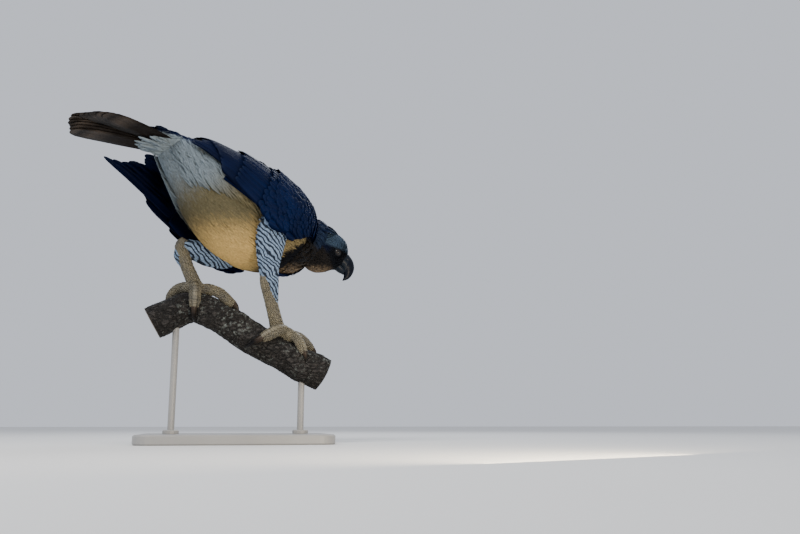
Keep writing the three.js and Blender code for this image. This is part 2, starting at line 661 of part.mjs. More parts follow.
// A hooked claw that goes on from the toe's end and curls towards the bark
function clawSolid(name, toe) {
  const { radius, claw } = TOES[name][toe];
  const end = toePoint(name, toe, 1);
  const ahead = end.clone().sub(toePoint(name, toe, 0.8)).normalize();
  const { place } = LEGS[name];
  const out = barkNormal(end, place + TOES[name][toe].along);
  out.addScaledVector(ahead, -out.dot(ahead)).normalize();
  const points = CLAW.sizes.map((_, i) => {
    const part = i / (CLAW.sizes.length - 1);
    const bend = radians(mix(...CLAW.bend, part));
    const reach = claw * part * 0.86 - CLAW.sink;
    return end.clone().addScaledVector(ahead, reach * Math.cos(bend))
      .addScaledVector(out, -reach * Math.sin(bend) * 0.9 + radius * 0.15);
  });
  const sizes = CLAW.sizes.map((size) => [radius * size * CLAW.flat, radius * size, radius * size]);
  const across = (middle, tangent) => out.clone().cross(tangent).normalize();
  return tube(points, sizes, CLAW.rings, CLAW.sides, across);
}

// Display stand

function baseSolid() {
  const { length, width, height, corner, bevel } = BASE;
  const [x, y] = [length / 2 - bevel, width / 2 - bevel];
  const r = corner - bevel;
  const outline = new THREE.Shape();
  outline.moveTo(-x + r, -y).lineTo(x - r, -y).absarc(x - r, -y + r, r, -Math.PI / 2, 0);
  outline.lineTo(x, y - r).absarc(x - r, y - r, r, 0, Math.PI / 2);
  outline.lineTo(-x + r, y).absarc(-x + r, y - r, r, Math.PI / 2, Math.PI);
  outline.lineTo(-x, -y + r).absarc(-x + r, -y + r, r, Math.PI, 1.5 * Math.PI);
  const plate = new THREE.ExtrudeGeometry(outline, {
    depth: height - 2 * bevel, bevelThickness: bevel, bevelSize: bevel, bevelSegments: 1, curveSegments: 3,
  });
  return fromGeometry(plate, move(0, 0, bevel));
}

// A rod with a collar on the base; it reaches up into the branch and is cut to it
function rodSolid(x) {
  const closer = (best, p) => (Math.abs(p.x - x) < Math.abs(best.x - x) ? p : best);
  const nearest = branchCurve.getPoints(80).reduce(closer);
  const foot = BASE.height + GAP;
  const height = nearest.z - foot;
  const { radius, collarRadius, collarHeight, collarEdge, sides } = RODS;
  const collar = [[0, 0], [collarRadius, 0], [collarRadius, collarHeight - collarEdge],
    [collarRadius - collarEdge, collarHeight], [radius, collarHeight]];
  const profile = [...collar, [radius, height], [0, height]].map(([r, z]) => new THREE.Vector2(r, z));
  const turn = new THREE.Matrix4().makeRotationX(Math.PI / 2);
  return fromGeometry(new THREE.LatheGeometry(profile, sides), move(nearest.x, nearest.y, foot).multiply(turn));
}

// The scene graph

const model = new THREE.Group();

function group(parent, frame = new THREE.Matrix4()) {
  const made = new THREE.Group();
  parent.updateWorldMatrix(true, false);
  parent.matrixWorld.clone().invert().multiply(frame).decompose(made.position, made.quaternion, made.scale);
  parent.add(made);
  made.updateWorldMatrix(true, false);
  return made;
}

function addMesh(parent, name, made, finish) {
  const local = made.transform(parent.matrixWorld.clone().invert().toArray());
  const { vertProperties, triVerts } = local.getMesh();
  const geometry = new THREE.BufferGeometry();
  geometry.setAttribute('position', new THREE.BufferAttribute(new Float32Array(vertProperties), 3));
  geometry.setIndex(new THREE.BufferAttribute(new Uint32Array(triVerts), 1));
  const mesh = new THREE.Mesh(geometry, new THREE.MeshStandardMaterial(finish));
  mesh.name = name;
  parent.add(mesh);
}

const NAMES = ['left', 'right'];
const bird = group(model, bodyFrame);
const head = group(bird, headFrame);
const tail = group(bird, tailFrame);
const legs = group(model);
const stand = group(model);

const torsoRoom = torsoSolid(GAP);
const skullRoom = skullSolid(GAP);
const neckRoom = neckSolid(GAP);
const branchRoom = branchSolid(GAP);
const thighRooms = NAMES.map((name) => thighSolid(name, GAP));

addMesh(bird, 'torso', cut(torsoSolid(), skullRoom), WHITE);
addMesh(bird, 'neck', cut(neckSolid(), torsoRoom, skullRoom), SLATE);
addMesh(head, 'head', headSolid(), PALE_GREY);
addMesh(head, 'upper_bill', cut(billSolid(BILL), skullRoom, nostril(-1), nostril(1)), HORN);
addMesh(head, 'lower_bill', cut(billSolid(LOWER_BILL), skullRoom, billSolid(BILL, GAP)), HORN);
NAMES.forEach((name, i) => {
  const side = 1 - 2 * i;
  addMesh(head, `eye_${name}`, eyeSphere(side), IRIS);
  addMesh(head, `crest_${name}`, cut(crestSolid(side), skullRoom, neckRoom, torsoRoom), SLATE);
});
addMesh(tail, 'tail', cut(tailSolid(), torsoRoom), SLATE);
NAMES.forEach((name, i) => {
  addMesh(bird, `wing_${name}`, cut(wingSolid(name), torsoRoom, neckRoom, thighRooms[i]), SLATE);
});

NAMES.forEach((name, i) => {
  const leg = group(legs);
  addMesh(leg, `thigh_${name}`, cut(thighSolid(name), torsoRoom), WHITE);
  addMesh(leg, `tarsus_${name}`, cut(shankSolid(name), thighRooms[i], branchRoom), SKIN);
  addMesh(leg, `foot_${name}`, cut(footPad(name), branchRoom, shankSolid(name, GAP)), SKIN);
  const rooms = [branchRoom, footPad(name, GAP), shankSolid(name, GAP)];
  Object.keys(TOES[name]).forEach((toe) => {
    const toeRoom = toeSolid(name, toe, GAP);
    addMesh(leg, `toe_${toe}_${name}`, cut(toeSolid(name, toe), ...rooms), SKIN);
    addMesh(leg, `claw_${toe}_${name}`, cut(clawSolid(name, toe), branchRoom, toeRoom), HORN);
    rooms.push(toeRoom);
  });
});

addMesh(stand, 'perch_branch', branchSolid(), BARK);
addMesh(stand, 'stand_base', baseSolid(), STAND_PAINT);
NAMES.forEach((name) => {
  addMesh(stand, `stand_rod_${name}`, cut(rodSolid(RODS[name]), branchRoom), STAND_PAINT);
});

export default model;
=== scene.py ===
"""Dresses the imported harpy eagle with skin, feathers, scales, horn and bark, and sets the studio.

Lengths inside the shape functions are millimetres, as in the CAD source, and meshes are metres.
"""

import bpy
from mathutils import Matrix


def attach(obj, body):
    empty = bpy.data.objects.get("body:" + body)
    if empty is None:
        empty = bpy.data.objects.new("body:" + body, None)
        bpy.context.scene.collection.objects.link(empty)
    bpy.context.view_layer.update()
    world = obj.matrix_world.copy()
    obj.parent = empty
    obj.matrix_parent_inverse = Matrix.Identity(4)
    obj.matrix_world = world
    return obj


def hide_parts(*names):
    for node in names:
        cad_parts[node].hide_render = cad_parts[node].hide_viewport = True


bl_info = {
    "name": "Harpy eagle on a perch",
    "version": (1, 0, 0),
    "blender": (4, 5, 0),
    "location": "View3D > Sidebar > Eagle",
    "description": "Builds the plumage, horn, scales, perch and studio of a still harpy eagle",
    "category": "Add Mesh",
}

import bmesh
import bpy
import numpy as np
from bpy.props import FloatProperty, FloatVectorProperty, IntProperty, PointerProperty
from mathutils import Vector

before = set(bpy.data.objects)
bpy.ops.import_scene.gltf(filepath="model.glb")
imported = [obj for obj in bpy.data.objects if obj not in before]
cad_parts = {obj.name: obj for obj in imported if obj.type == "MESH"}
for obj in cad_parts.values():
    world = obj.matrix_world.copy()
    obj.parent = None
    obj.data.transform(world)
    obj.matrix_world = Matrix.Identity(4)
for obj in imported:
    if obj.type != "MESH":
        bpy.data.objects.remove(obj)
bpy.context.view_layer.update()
MM = 0.001

# Places and bearings of the body, head and tail, as in the CAD source
BODY = dict(origin=(-30, 0, 575), forward=(0.762, 0.361, -0.539), up=(0.295, 0.46, 0.837))
HEAD = dict(origin=(223, 79, 484), forward=(0.835, 0.072, -0.545), up=(0.579, 0.138, 0.803))
TAIL_ROOT = (-205, 0, 22)
TAIL_BEND = 47
TAIL_TURN = 23
TAIL_LENGTH = 345

# Sections along the spine: distance forward, rise of the middle, half width, top, bottom
TORSO_ROWS = [
    (-232, 14, 28, 22, 30), (-195, 18, 50, 34, 54), (-138, 15, 77, 52, 82), (-64, 6, 104, 78, 110),
    (21, 0, 119, 107, 127), (95, 0, 118, 112, 115), (148, 4, 106, 102, 93), (180, 9, 88, 86, 70),
    (202, 14, 64, 64, 50),
]
# Neck: half width, top and bottom from the chest to the back of the head
NECK_ROWS = [(76, 78, 50), (70, 72, 48), (60, 63, 56), (48, 53, 62)]
NECK_START = (160, 0, 12)
NECK_END = (-22, 0, -2)
HEAD_ROWS = [
    (-64, 2, 22, 24, 36), (-50, 1, 37, 39, 58), (-28, 0, 44, 50, 68), (-4, 0, 44, 53, 65),
    (15, 0, 40, 51, 51), (28, -1, 31, 43, 33), (38, -1, 21, 33, 25),
]
EYE = dict(at=(14, 31, 5), aim=(0.30, 0.95, -0.06), globe=10.6)
# Upper and lower bill: middle line, and half width, rise and drop along it
BILL_LINE = [(24, 0, 6), (48, 0, 7), (63, 0, 0), (71, 0, -13), (73, 0, -26), (70, 0, -39)]
BILL_SIZES = [(15, 24, 16), (14, 21, 17), (12, 17, 17), (9, 12, 13), (5.5, 7, 7.5), (0.6, 0.7, 0.7)]
LOWER_LINE = [(12, 0, -13), (40, 0, -14), (56, 0, -17), (64, 0, -23)]
LOWER_SIZES = [(14, 6, 11), (12.5, 6, 11), (9, 6, 8.5), (1.2, 1, 1.2)]

# Folded wing: distance forward, middle out, middle up, reach out, reach up
WING_ROWS = [
    (208, -8, 0, 88, 92), (190, -6, 0, 114, 114), (150, 0, 0, 136, 132), (100, 2, 0, 146, 140),
    (40, 2, 0, 147, 137), (-20, 0, 3, 143, 131), (-90, -6, 6, 134, 119), (-170, -24, 6, 126, 104),
    (-245, -52, -10, 112, 92), (-312, -70, -22, 104, 80),
]
WRIST = 180
WING_TIP = -312
# How far each wing hangs out and down at its wrist and tip, and how far its flight feathers stop short
WING_HANG = {
    "left": dict(out=(4, 60), drop=(-24, 64), trim=dict(primaries=14, secondaries=14)),
    "right": dict(out=(0, 0), drop=(0, 0), trim=dict(primaries=116, secondaries=60)),
}
# Sign of y on each side of the bird
SIDES = {"left": 1, "right": -1}

# Branch: middle line and radius
BRANCH_LINE = [
    (-205, 0, 280, 40), (-160, 2, 305, 39), (-107, 3, 321, 38), (-47, 0, 295, 37),
    (26, -3, 252, 38), (95, -4, 216, 39), (150, 0, 190, 40), (205, 6, 162, 41),
]
# Knots on the branch: place along it, bearing round it, spread along and round, height
KNOTS = [
    (0.06, 200, 0.05, 40, 9), (0.2, 30, 0.04, 30, 5), (0.36, 320, 0.05, 34, 8), (0.5, 60, 0.05, 30, 6),
    (0.62, 210, 0.06, 40, 8), (0.93, 40, 0.05, 36, 9), (0.86, 300, 0.05, 34, 7),
]

# Legs: points down the thigh with half sizes along and across, then the bare shank
LEGS = {
    "right": dict(
        thigh=[(48, -52, 545, 50, 38), (64, -66, 510, 46, 40), (64, -67, 478, 40, 35),
               (62, -63, 440, 33, 30), (63, -57, 408, 27, 26), (67, -48, 376, 24, 24),
               (72, -36, 342, 20, 20)],
        across=(-0.3, -0.95, 0),
        shank=[(60, -56, 404), (60, -51, 380), (72, -35, 333), (85, -22, 288), (89, -17, 272)],
        place=0.705, bearing=86),
    "left": dict(
        thigh=[(10, 40, 505, 48, 42), (-38, 47, 470, 48, 42), (-78, 44, 462, 38, 35),
               (-112, 39, 468, 30, 29), (-137, 33, 472, 25, 25), (-147, 28, 455, 22, 22),
               (-141, 24, 436, 18, 18)],
        across=(0.1, -0.7, 0.7),
        shank=[(-138, 34, 486), (-147, 29, 472), (-136, 20, 434), (-118, 9, 392), (-108, 3, 368)],
        place=0.275, bearing=90),
}
SHANK_SIZES = [(15, 16, 16), (16, 18, 18), (14, 17, 17), (15, 17, 17), (18, 19, 19)]
FOOT_RADII = (30, 25, 17)
FOOT_LIFT = 8
# Toes from the foot: way along the branch, turn round it, thickness, claw length
TOES = {
    "right": dict(hind=(-0.085, -78, 13, 74), inner=(0.05, 82, 12.5, 60),
                  middle=(0.17, 26, 12, 50), outer=(0.125, -58, 11, 42)),
    "left": dict(hind=(-0.115, 40, 13, 74), inner=(0.012, -94, 12.5, 62),
                 middle=(0.17, -18, 12, 50), outer=(0.07, 74, 11, 42)),
}


# Rows, frames and curves

def unit(v):
    """Vectors divided by their own length, along the last axis."""
    v = np.asarray(v, float)
    return v / np.maximum(np.linalg.norm(v, axis=-1, keepdims=True), 1e-9)


def frame_matrix(origin, forward, up):
    """A 4 by 4 frame: x along forward, y across up and forward, z square to both."""
    x = unit(forward)
    y = unit(np.cross(up, x))
    made = np.eye(4)
    made[:3, :3] = np.stack([x, y, np.cross(x, y)], axis=1)
    made[:3, 3] = origin
    return made


def placed(matrix, points):
    """Points given in a frame, as points of the whole model."""
    return np.asarray(points, float) @ matrix[:3, :3].T + matrix[:3, 3]


def to_frame(matrix, points):
    """The x, y and z, in a frame, of points of the whole model."""
    return np.moveaxis((points - matrix[:3, 3]) @ matrix[:3, :3], -1, 0)


def stacked(x, y, z):
    """Points from three arrays of coordinates that are broadcast together."""
    return np.stack(np.broadcast_arrays(x, y, z), axis=-1)


def between(pair, part):
    """A value part of the way from the first of a pair to the second."""
    return pair[0] + (pair[1] - pair[0]) * part


def rows_at(rows, at):
    """Catmull-Rom through rows: four neighbours weighed by cubic powers of the part between them."""
    rows = np.asarray(rows, float)
    at = np.clip(np.asarray(at, float), 0, len(rows) - 1)
    i = np.minimum(at.astype(int), len(rows) - 2)
    t = (at - i)[..., None]
    a, b, c, d = [rows[np.clip(i + k, 0, len(rows) - 1)] for k in (-1, 0, 1, 2)]
    square = (2 * a - 5 * b + 4 * c - d) * t ** 2
    cube = (3 * b - a - 3 * c + d) * t ** 3
    return 0.5 * (2 * b + (c - a) * t + square + cube)


def rows_for(rows, distance):
    """The rows at given distances, in rows whose first column falls from front to back."""
    first = np.asarray(rows, float)[:, 0]
    index = np.interp(-np.asarray(distance, float), -first, np.arange(len(first)))
    return rows_at(rows, index)


def smooth_step(low, high, value):
    """0 below low, 1 above high, and 3t^2 - 2t^3 between them."""
    t = np.clip((value - low) / (high - low), 0, 1)
    return t * t * (3 - 2 * t)


def tail_matrix():
    """The tail's frame: bent down and turned aside from the spine at the tail's root."""
    bend, turn = np.radians([TAIL_BEND, TAIL_TURN])
    back = (-np.cos(bend) * np.cos(turn), -np.sin(turn), -np.sin(bend) * np.cos(turn))
    return body_frame @ frame_matrix(TAIL_ROOT, back, (-np.sin(bend), 0, np.cos(bend)))


body_frame = frame_matrix(**BODY)
head_frame = frame_matrix(**HEAD)
tail_frame = tail_matrix()


# Surfaces as grids of points: the first axis runs along the part, the second round it

def ellipse_ring(count):
    """Cosines and sines of count bearings round a section."""
    angle = np.linspace(0, 2 * np.pi, count, endpoint=False)
    return np.cos(angle), np.sin(angle)


def loft_grid(matrix, rows, rings, sides, inset, shape=None):
    """Half ellipses with their own top and bottom along the x of a frame: y is half width times the
    cosine of the bearing, z is the rise plus top or bottom times its sine. Inset shrinks each."""
    x, rise, half, top, bottom = rows_at(rows, np.linspace(0, len(rows) - 1, rings)).T[:, :, None]
    cos, sin = ellipse_ring(sides)
    local = stacked(x, (half - inset) * cos, rise + np.where(sin > 0, top - inset, bottom - inset) * sin)
    return placed(matrix, shape(local) if shape else local)


def curve_frames(points, count, across):
    """A smooth line through points with its side and top at each of count places: the top is the
    cross product of the tangent and the way across, and the side closes the frame."""
    at = np.linspace(0, len(points) - 1, count)
    tangent = unit(rows_at(points, at + 0.02) - rows_at(points, at - 0.02))
    top = unit(np.cross(tangent, np.broadcast_to(across, tangent.shape)))
    return rows_at(points, at), np.cross(top, tangent), top


def tube_grid(points, sizes, rings, sides, across, inset=0.0, swell=1.0):
    """Ellipses across a smooth line: side times half width times cosine, plus top times the rise or
    the drop times sine. Inset shrinks each, and swell scales it at each ring and bearing."""
    middle, side, top = curve_frames(points, rings, across)
    half, rise, drop = (rows_at(sizes, np.linspace(0, len(sizes) - 1, rings)).T - inset)[:, :, None]
    cos, sin = ellipse_ring(sides)
    off = (half * cos * swell)[..., None]
    level = (np.where(sin > 0, rise, drop) * sin * swell)[..., None]
    return middle[:, None] + side[:, None] * off + top[:, None] * level


def grid_normals(grid):
    """Outward normals of a grid that closes round its second axis: the cross product of the
    differences along and round it, turned away from each ring's middle."""
    along = np.gradient(grid, axis=0)
    around = np.roll(grid, -1, axis=1) - np.roll(grid, 1, axis=1)
    normal = unit(np.cross(along, around))
    outward = grid - grid.mean(axis=1, keepdims=True)
    flip = np.sign(np.sum(normal * outward, axis=(1, 2)))
    return normal * np.where(flip == 0, 1, flip)[:, None, None]


def closed_faces(rings, sides):
    """Quads between rings of sides points each, and a fan to a pole point at either end."""
    i, j = np.meshgrid(np.arange(rings - 1), np.arange(sides), indexing="ij")
    a, b = i * sides + j, i * sides + (j + 1) % sides
    quads = np.stack([a, b, b + sides, a + sides], axis=-1).reshape(-1, 4)
    j = np.arange(sides)
    first, last = rings * sides, rings * sides + 1
    start = np.stack([(j + 1) % sides, j, np.full(sides, first)], axis=-1)
    end = (rings - 1) * sides
    stop = np.stack([end + j, end + (j + 1) % sides, np.full(sides, last)], axis=-1)
    return quads, np.concatenate([start, stop])


# Meshes

def new_mesh(name, points, quads, tris=(), smooth=True):
    """A mesh object from millimetre points and faces, through numpy arrays."""
    points = np.asarray(points, float).reshape(-1, 3) * MM
    quads, tris = np.asarray(quads, int), np.asarray(tris, int)
    mesh = bpy.data.meshes.new(name)
    mesh.vertices.add(len(points))
    mesh.vertices.foreach_set("co", points.ravel())
    sizes = np.concatenate([np.full(len(quads), 4), np.full(len(tris), 3)])
    corners = np.concatenate([quads.ravel(), tris.ravel()])
    mesh.loops.add(len(corners))
    mesh.loops.foreach_set("vertex_index", corners.astype(np.int32))
    mesh.polygons.add(len(sizes))
    starts = np.concatenate([[0], np.cumsum(sizes)[:-1]])
    mesh.polygons.foreach_set("loop_start", starts.astype(np.int32))
    mesh.polygons.foreach_set("use_smooth", np.full(len(sizes), smooth))
    mesh.update(calc_edges=True)
    mesh.validate()
    made = bpy.data.objects.new(name, mesh)
    bpy.context.scene.collection.objects.link(made)
    return made


def closed_mesh(name, grid):
    """A closed surface from a grid of rings, with a pole at the middle of each end ring."""
    rings, sides = grid.shape[:2]
    quads, tris = closed_faces(rings, sides)
    points = np.concatenate([grid.reshape(-1, 3), grid[:1].mean(axis=1), grid[-1:].mean(axis=1)])
    made = new_mesh(name, points, quads, tris)
    outward_faces(made)
    return made


def outward_faces(made):
    """Recalculates a closed mesh's normals so that its faces point outwards."""
    work = bmesh.new()
    work.from_mesh(made.data)
    bmesh.ops.recalc_face_normals(work, faces=work.faces)
    work.to_mesh(made.data)
    work.free()


def set_uv(made, name, values):
    """A UV map from one value for each vertex."""
    layer = made.data.uv_layers.new(name=name)
    corner = np.zeros(len(made.data.loops), np.int32)
    made.data.loops.foreach_get("vertex_index", corner)
    layer.data.foreach_set("uv", np.asarray(values, np.float32)[corner].ravel())


def set_tint(made, values, bars=0.0):
    """The colour of each vertex, as the attribute that the materials read: a colour or one value, for
    each vertex or for all. Its alpha is how strongly the vertex is barred."""
    layer = made.data.color_attributes.new(name="tint", type="FLOAT_COLOR", domain="POINT")
    values = np.asarray(values, float)
    rgba = np.ones((len(made.data.vertices), 4), np.float32)
    rgba[:, :3] = values.reshape(-1, values.shape[-1])
    rgba[:, 3] = bars
    layer.data.foreach_set("color", rgba.ravel())


def join(name, objects):
    """Several meshes as one object."""
    bpy.ops.object.select_all(action="DESELECT")
    for one in objects:
        one.select_set(True)
    bpy.context.view_layer.objects.active = objects[0]
    if len(objects) > 1:
        bpy.ops.object.join()
    objects[0].name = name
    objects[0].data.name = name
    return objects[0]


def finish(made, material, slot_name, *nodes):
    """Gives a piece its material and body, and hides the CAD nodes that it stands for. Its record slot is
    not used.
    """
    made.data.materials.clear()
    made.data.materials.append(material)
    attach(made, "root")
    if nodes:
        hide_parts(*nodes)
    return made


# Feathers

# Outline of a feather or scale: part of the way along it, part of its half width
BODY_OUTLINE = [(0, 0.5), (0.35, 0.95), (0.7, 1.0), (0.92, 0.62), (1, 0.16)]
FLIGHT_OUTLINE = [(0, 0.35), (0.08, 0.7), (0.2, 0.9), (0.4, 1), (0.6, 1), (0.78, 0.97), (0.9, 0.84),
                  (0.96, 0.6), (0.99, 0.34), (1, 0.1)]
COVERT_OUTLINE = [(0, 0.5), (0.2, 0.85), (0.5, 1), (0.75, 0.98), (0.9, 0.75), (0.97, 0.45), (1, 0.12)]
WISP_OUTLINE = [(0, 0.6), (0.4, 1), (0.8, 0.62), (1, 0.07)]
SCALE_OUTLINE = [(0, 0.5), (0.25, 0.95), (0.6, 1), (0.85, 0.8), (1, 0.42)]
# Points round a section: part of the half width, and part of the half thickness over the vane
WISP_SECTION = [(-1, -0.4), (0, 1), (1, -0.4)]
SLIM_SECTION = [(-1, 0), (0, 1), (1, 0), (0, -1)]
BROAD_SECTION = [(-1, 0), (-0.5, 0.8), (0, 1), (0.5, 0.8), (1, 0), (0.5, -0.8), (0, -1), (-0.5, -0.8)]
# Triangles that close the end of a section of so many points
END_FACES = {
    3: [(0, 1, 2)],
    4: [(0, 1, 3), (1, 2, 3)],
    8: [(0, 1, 7), (1, 2, 7), (2, 6, 7), (2, 3, 6), (3, 5, 6), (3, 4, 5)],
}
# How many steps a feather may run past the edge of its sheet
EDGE_STEPS = 9
# The part of the bake map that one feather is wide and long
BAKE_PATCH = 0.003
# How far along a body part one of its rings counts when points inside it are looked for
RING_REACH = 12


class Sheet:
    """A grid of points with its normals and the millimetres that one step along or across covers."""

    def __init__(self, grid, closed=True, outside=1):
        self.grid = grid
        self.closed = closed
        if closed:
            around = (np.roll(grid, -1, axis=1) - np.roll(grid, 1, axis=1)) / 2
            self.normal = grid_normals(grid)
        else:
            around = np.gradient(grid, axis=1)
            self.normal = outside * unit(np.cross(np.gradient(grid, axis=0), around))
        self.along = np.linalg.norm(np.gradient(grid, axis=0), axis=-1)
        self.around = np.linalg.norm(around, axis=-1)

    def read(self, values, u, v):
        """Values between four neighbours of a grid, weighed by the parts of a step past them. Points
        go straight on past an open edge, and other values stay as they are there."""
        rings, sides = self.grid.shape[:2]
        beyond = EDGE_STEPS if values is self.grid else 0
        u = np.clip(u, -beyond, rings - 1.001 + beyond)
        v = np.mod(v, sides) if self.closed else np.clip(v, -beyond, sides - 1.001 + beyond)
        i, j = np.clip(u, 0, rings - 2).astype(int), np.clip(v, 0, sides - 1.001).astype(int)
        p, q = u - i, v - j
        right = (j + 1) % sides
        if values.ndim == 3:
            p, q = p[..., None], q[..., None]
        low = values[i, j] * (1 - q) + values[i, right] * q
        high = values[i + 1, j] * (1 - q) + values[i + 1, right] * q
        return low * (1 - p) + high * p


def plant(sheet, gap_along, gap_around, rng, jitter=0.35, start=0.0, stop=1.0):
    """Roots in rows along a sheet: each row has as many roots as its length holds, shifted by half a
    gap from row to row, and each root is moved by a random part of a gap."""
    rings, sides = sheet.grid.shape[:2]
    length = np.concatenate([[0], np.cumsum(sheet.along.mean(axis=1)[:-1])])
    total = length[-1]
    rows = np.arange(start * total, stop * total, gap_along)
    found = []
    for k, far in enumerate(rows):
        ring = np.interp(far, length, np.arange(rings))
        girth = sheet.around[int(round(ring))].sum()
        count = max(int(girth / gap_around), 3)
        v = (np.arange(count) + 0.5 * (k % 2)) * sides / count
        u = ring + rng.uniform(-jitter, jitter, count) * gap_along / (total / rings)
        v = v + rng.uniform(-jitter, jitter, count) * sides / count
        found.append(np.stack([u, v], axis=1))
    return np.concatenate(found).T


def drape(sheet, u, v, heading, length, width, lift, outline, section, thickness, camber, roll, curl):
    """Feathers laid on a sheet. A point a part t along a feather and off across it lies on the sheet
    at the root plus t times the length along the heading and off square to it, raised by a lift that
    goes from its first to its second value, by the camber times the half width less its square
    part, and by the curl times t cubed. Heading is an angle from the sheet's first axis."""
    def each(value):
        """One value for each feather, spread over its points."""
        return np.broadcast_to(value, len(u))[:, None, None]

    t, part = np.array(outline).T[:, None, :, None]
    side, over = np.array(section).T
    half = each(width) / 2 * part
    off, far = half * side, each(length) * t
    cos, sin = each(np.cos(heading)), each(np.sin(heading))
    per_u = each(sheet.read(sheet.along, u, v))
    per_v = each(np.maximum(sheet.read(sheet.around, u, v), 0.2))
    at_u = each(u) + (far * cos - off * sin) / per_u
    at_v = each(v) + (far * sin + off * cos) / per_v
    rise = between([each(value) for value in lift], t ** 0.8)
    rise = rise + camber * half * (1 - side ** 2) + curl * t ** 3
    rise = rise + over * thickness / 2 * (1 - 0.6 * t) + each(roll) * off
    return sheet.read(sheet.grid, at_u, at_v) + sheet.read(sheet.normal, at_u, at_v) * rise[..., None]


def feather_mesh(name, points, outline, section, bake, tint, bars):
    """One mesh of many feathers from points by feather, station and place round the section. Its
    vane map holds the place across each feather and the length along it, and its bake map a small
    patch at each root's place on the sheet."""
    count, stations, around = points.shape[:3]
    quads = closed_faces(stations, around)[0]
    ends = np.array(END_FACES[around])
    tris = np.concatenate([ends[:, ::-1], ends + (stations - 1) * around])
    first = (np.arange(count) * stations * around)[:, None, None]
    made = new_mesh(name, points, (quads + first).reshape(-1, 4), (tris + first).reshape(-1, 3))
    t, part = np.array(outline).T[:, :, None]
    across = 0.5 + 0.5 * np.array(section)[:, 0] * part
    vane = np.stack(np.broadcast_arrays(across, t), axis=-1)
    vane = np.broadcast_to(vane, (count, stations, around, 2))
    set_uv(made, "vane", vane.reshape(-1, 2))
    set_uv(made, "OFBake", (bake[:, None, None] + vane * BAKE_PATCH).reshape(-1, 2))
    set_tint(made, tint, bars)
    made.data.uv_layers.active = made.data.uv_layers["OFBake"]
    flip_if_inside_out(made, points)
    return made


def flip_if_inside_out(made, points):
    """Turns the faces round where the first feather's volume, the sum of its triangles' triple
    products, comes out negative."""
    made.data.calc_loop_triangles()
    count = len(made.data.loop_triangles)
    index = np.zeros(count * 3, np.int32)
    made.data.loop_triangles.foreach_get("vertices", index)
    flat = points.reshape(-1, 3)
    a, b, c = [flat[index.reshape(-1, 3)[:, k]] - flat.mean(axis=0) for k in range(3)]
    if np.sum(a * np.cross(b, c)) < 0:
        made.data.flip_normals()


def bake_place(sheet, u, v, cell=(0, 0), cells=(1, 1)):
    """A root's place on the sheet as a part of one cell of the bake map, kept off its edges."""
    rings, sides = sheet.grid.shape[:2]
    place = np.stack([np.mod(v, sides) / sides, np.clip(u / rings, 0, 1)], axis=-1)
    return (np.array(cell) + 0.02 + place * 0.95) / np.array(cells)


def hidden(points, grids, margin):
    """True where a point is inside any closed grid: nearer the middle of the nearest ring than the
    ring's own point on the same bearing, less a margin."""
    inside = np.zeros(len(points), bool)
    for grid in grids:
        middle = grid.mean(axis=1)
        axis = unit(np.gradient(middle, axis=0))
        near = np.argmin(np.linalg.norm(points[:, None] - middle[None], axis=-1), axis=1)
        away = points - middle[near]
        along = np.sum(away * axis[near], axis=1)
        spokes = grid[near] - middle[near][:, None]
        match = np.argmax(np.sum(unit(spokes) * unit(away)[:, None], axis=-1), axis=1)
        reach = np.linalg.norm(spokes[np.arange(len(points)), match], axis=1)
        inside |= (np.linalg.norm(away, axis=1) < reach - margin) & (np.abs(along) < RING_REACH)
    return inside


# Surfaces of the bird, inside the solids by the depth of the coat

COAT_DEPTH = dict(torso=9.0, neck=8.0, head=3.0, thigh=7.0, rump=7.0)
# The head's front end draws in to the root of the bill
HEAD_FRONT = HEAD_ROWS + [(43, -1, 14, 24, 18)]
# Swellings and hollows of the face: place, spread, and how far out
FACE_SHAPES = [((22, 17), (17, 6), 5), ((14, 5), (11, 8), -5), ((28, 1), (8, 7), -3),
               ((-22, -14), (16, 14), 4)]
# Root of the tail: distance back, half width, top and bottom
RUMP_ROWS = [(-34, 34, 20, 22), (0, 44, 25, 32), (40, 42, 21, 30), (80, 38, 12, 22)]
RUMP_LEVEL = -4
# Swelling of the neck under the raised wing: bearing, spread, part of the girth, and where it fades
NECK_SWELL = dict(bearing=52, spread=36, part=0.34, fade=(0.75, 0.3))


def face_shape(local):
    """Moves each side of the face by bell curves: out at the brow and the cheek, in at the eye and lores."""
    x, y, z = np.moveaxis(local, -1, 0)
    for (at_x, at_z), (wide, high), out in FACE_SHAPES:
        bell = np.exp(-((x - at_x) / wide) ** 2 - ((z - at_z) / high) ** 2)
        y = y + np.sign(y) * out * bell * np.minimum(np.abs(y) / 15, 1)
    return np.stack([x, y, z], axis=-1)


def torso_grid(rings=64, sides=96):
    """The torso's sections along the spine."""
    return loft_grid(body_frame, TORSO_ROWS, rings, sides, COAT_DEPTH["torso"])


def head_grid(rings=72, sides=96):
    """The head's sections, with the shapes of the face."""
    return loft_grid(head_frame, HEAD_FRONT, rings, sides, COAT_DEPTH["head"], face_shape)


def neck_grid(rings=40, sides=72):
    """A tube from the chest to the back of the head that leaves and arrives along their frames, with a
    swelling of a bell curve round it that fills the front of the raised left wing."""
    start, end = placed(body_frame, NECK_START), placed(head_frame, NECK_END)
    third = np.linalg.norm(end - start) / 3
    line = [start, start + body_frame[:3, 0] * third, end - head_frame[:3, 0] * third, end]
    bearing = np.linspace(0, 360, sides, endpoint=False)[None, :]
    fade = smooth_step(*NECK_SWELL["fade"], np.linspace(0, 1, rings)[:, None])
    bell = np.exp(-((bearing - NECK_SWELL["bearing"]) / NECK_SWELL["spread"]) ** 2)
    swell = 1 + NECK_SWELL["part"] * bell * fade
    return tube_grid(line, NECK_ROWS, rings, sides, body_frame[:3, 1], COAT_DEPTH["neck"], swell)


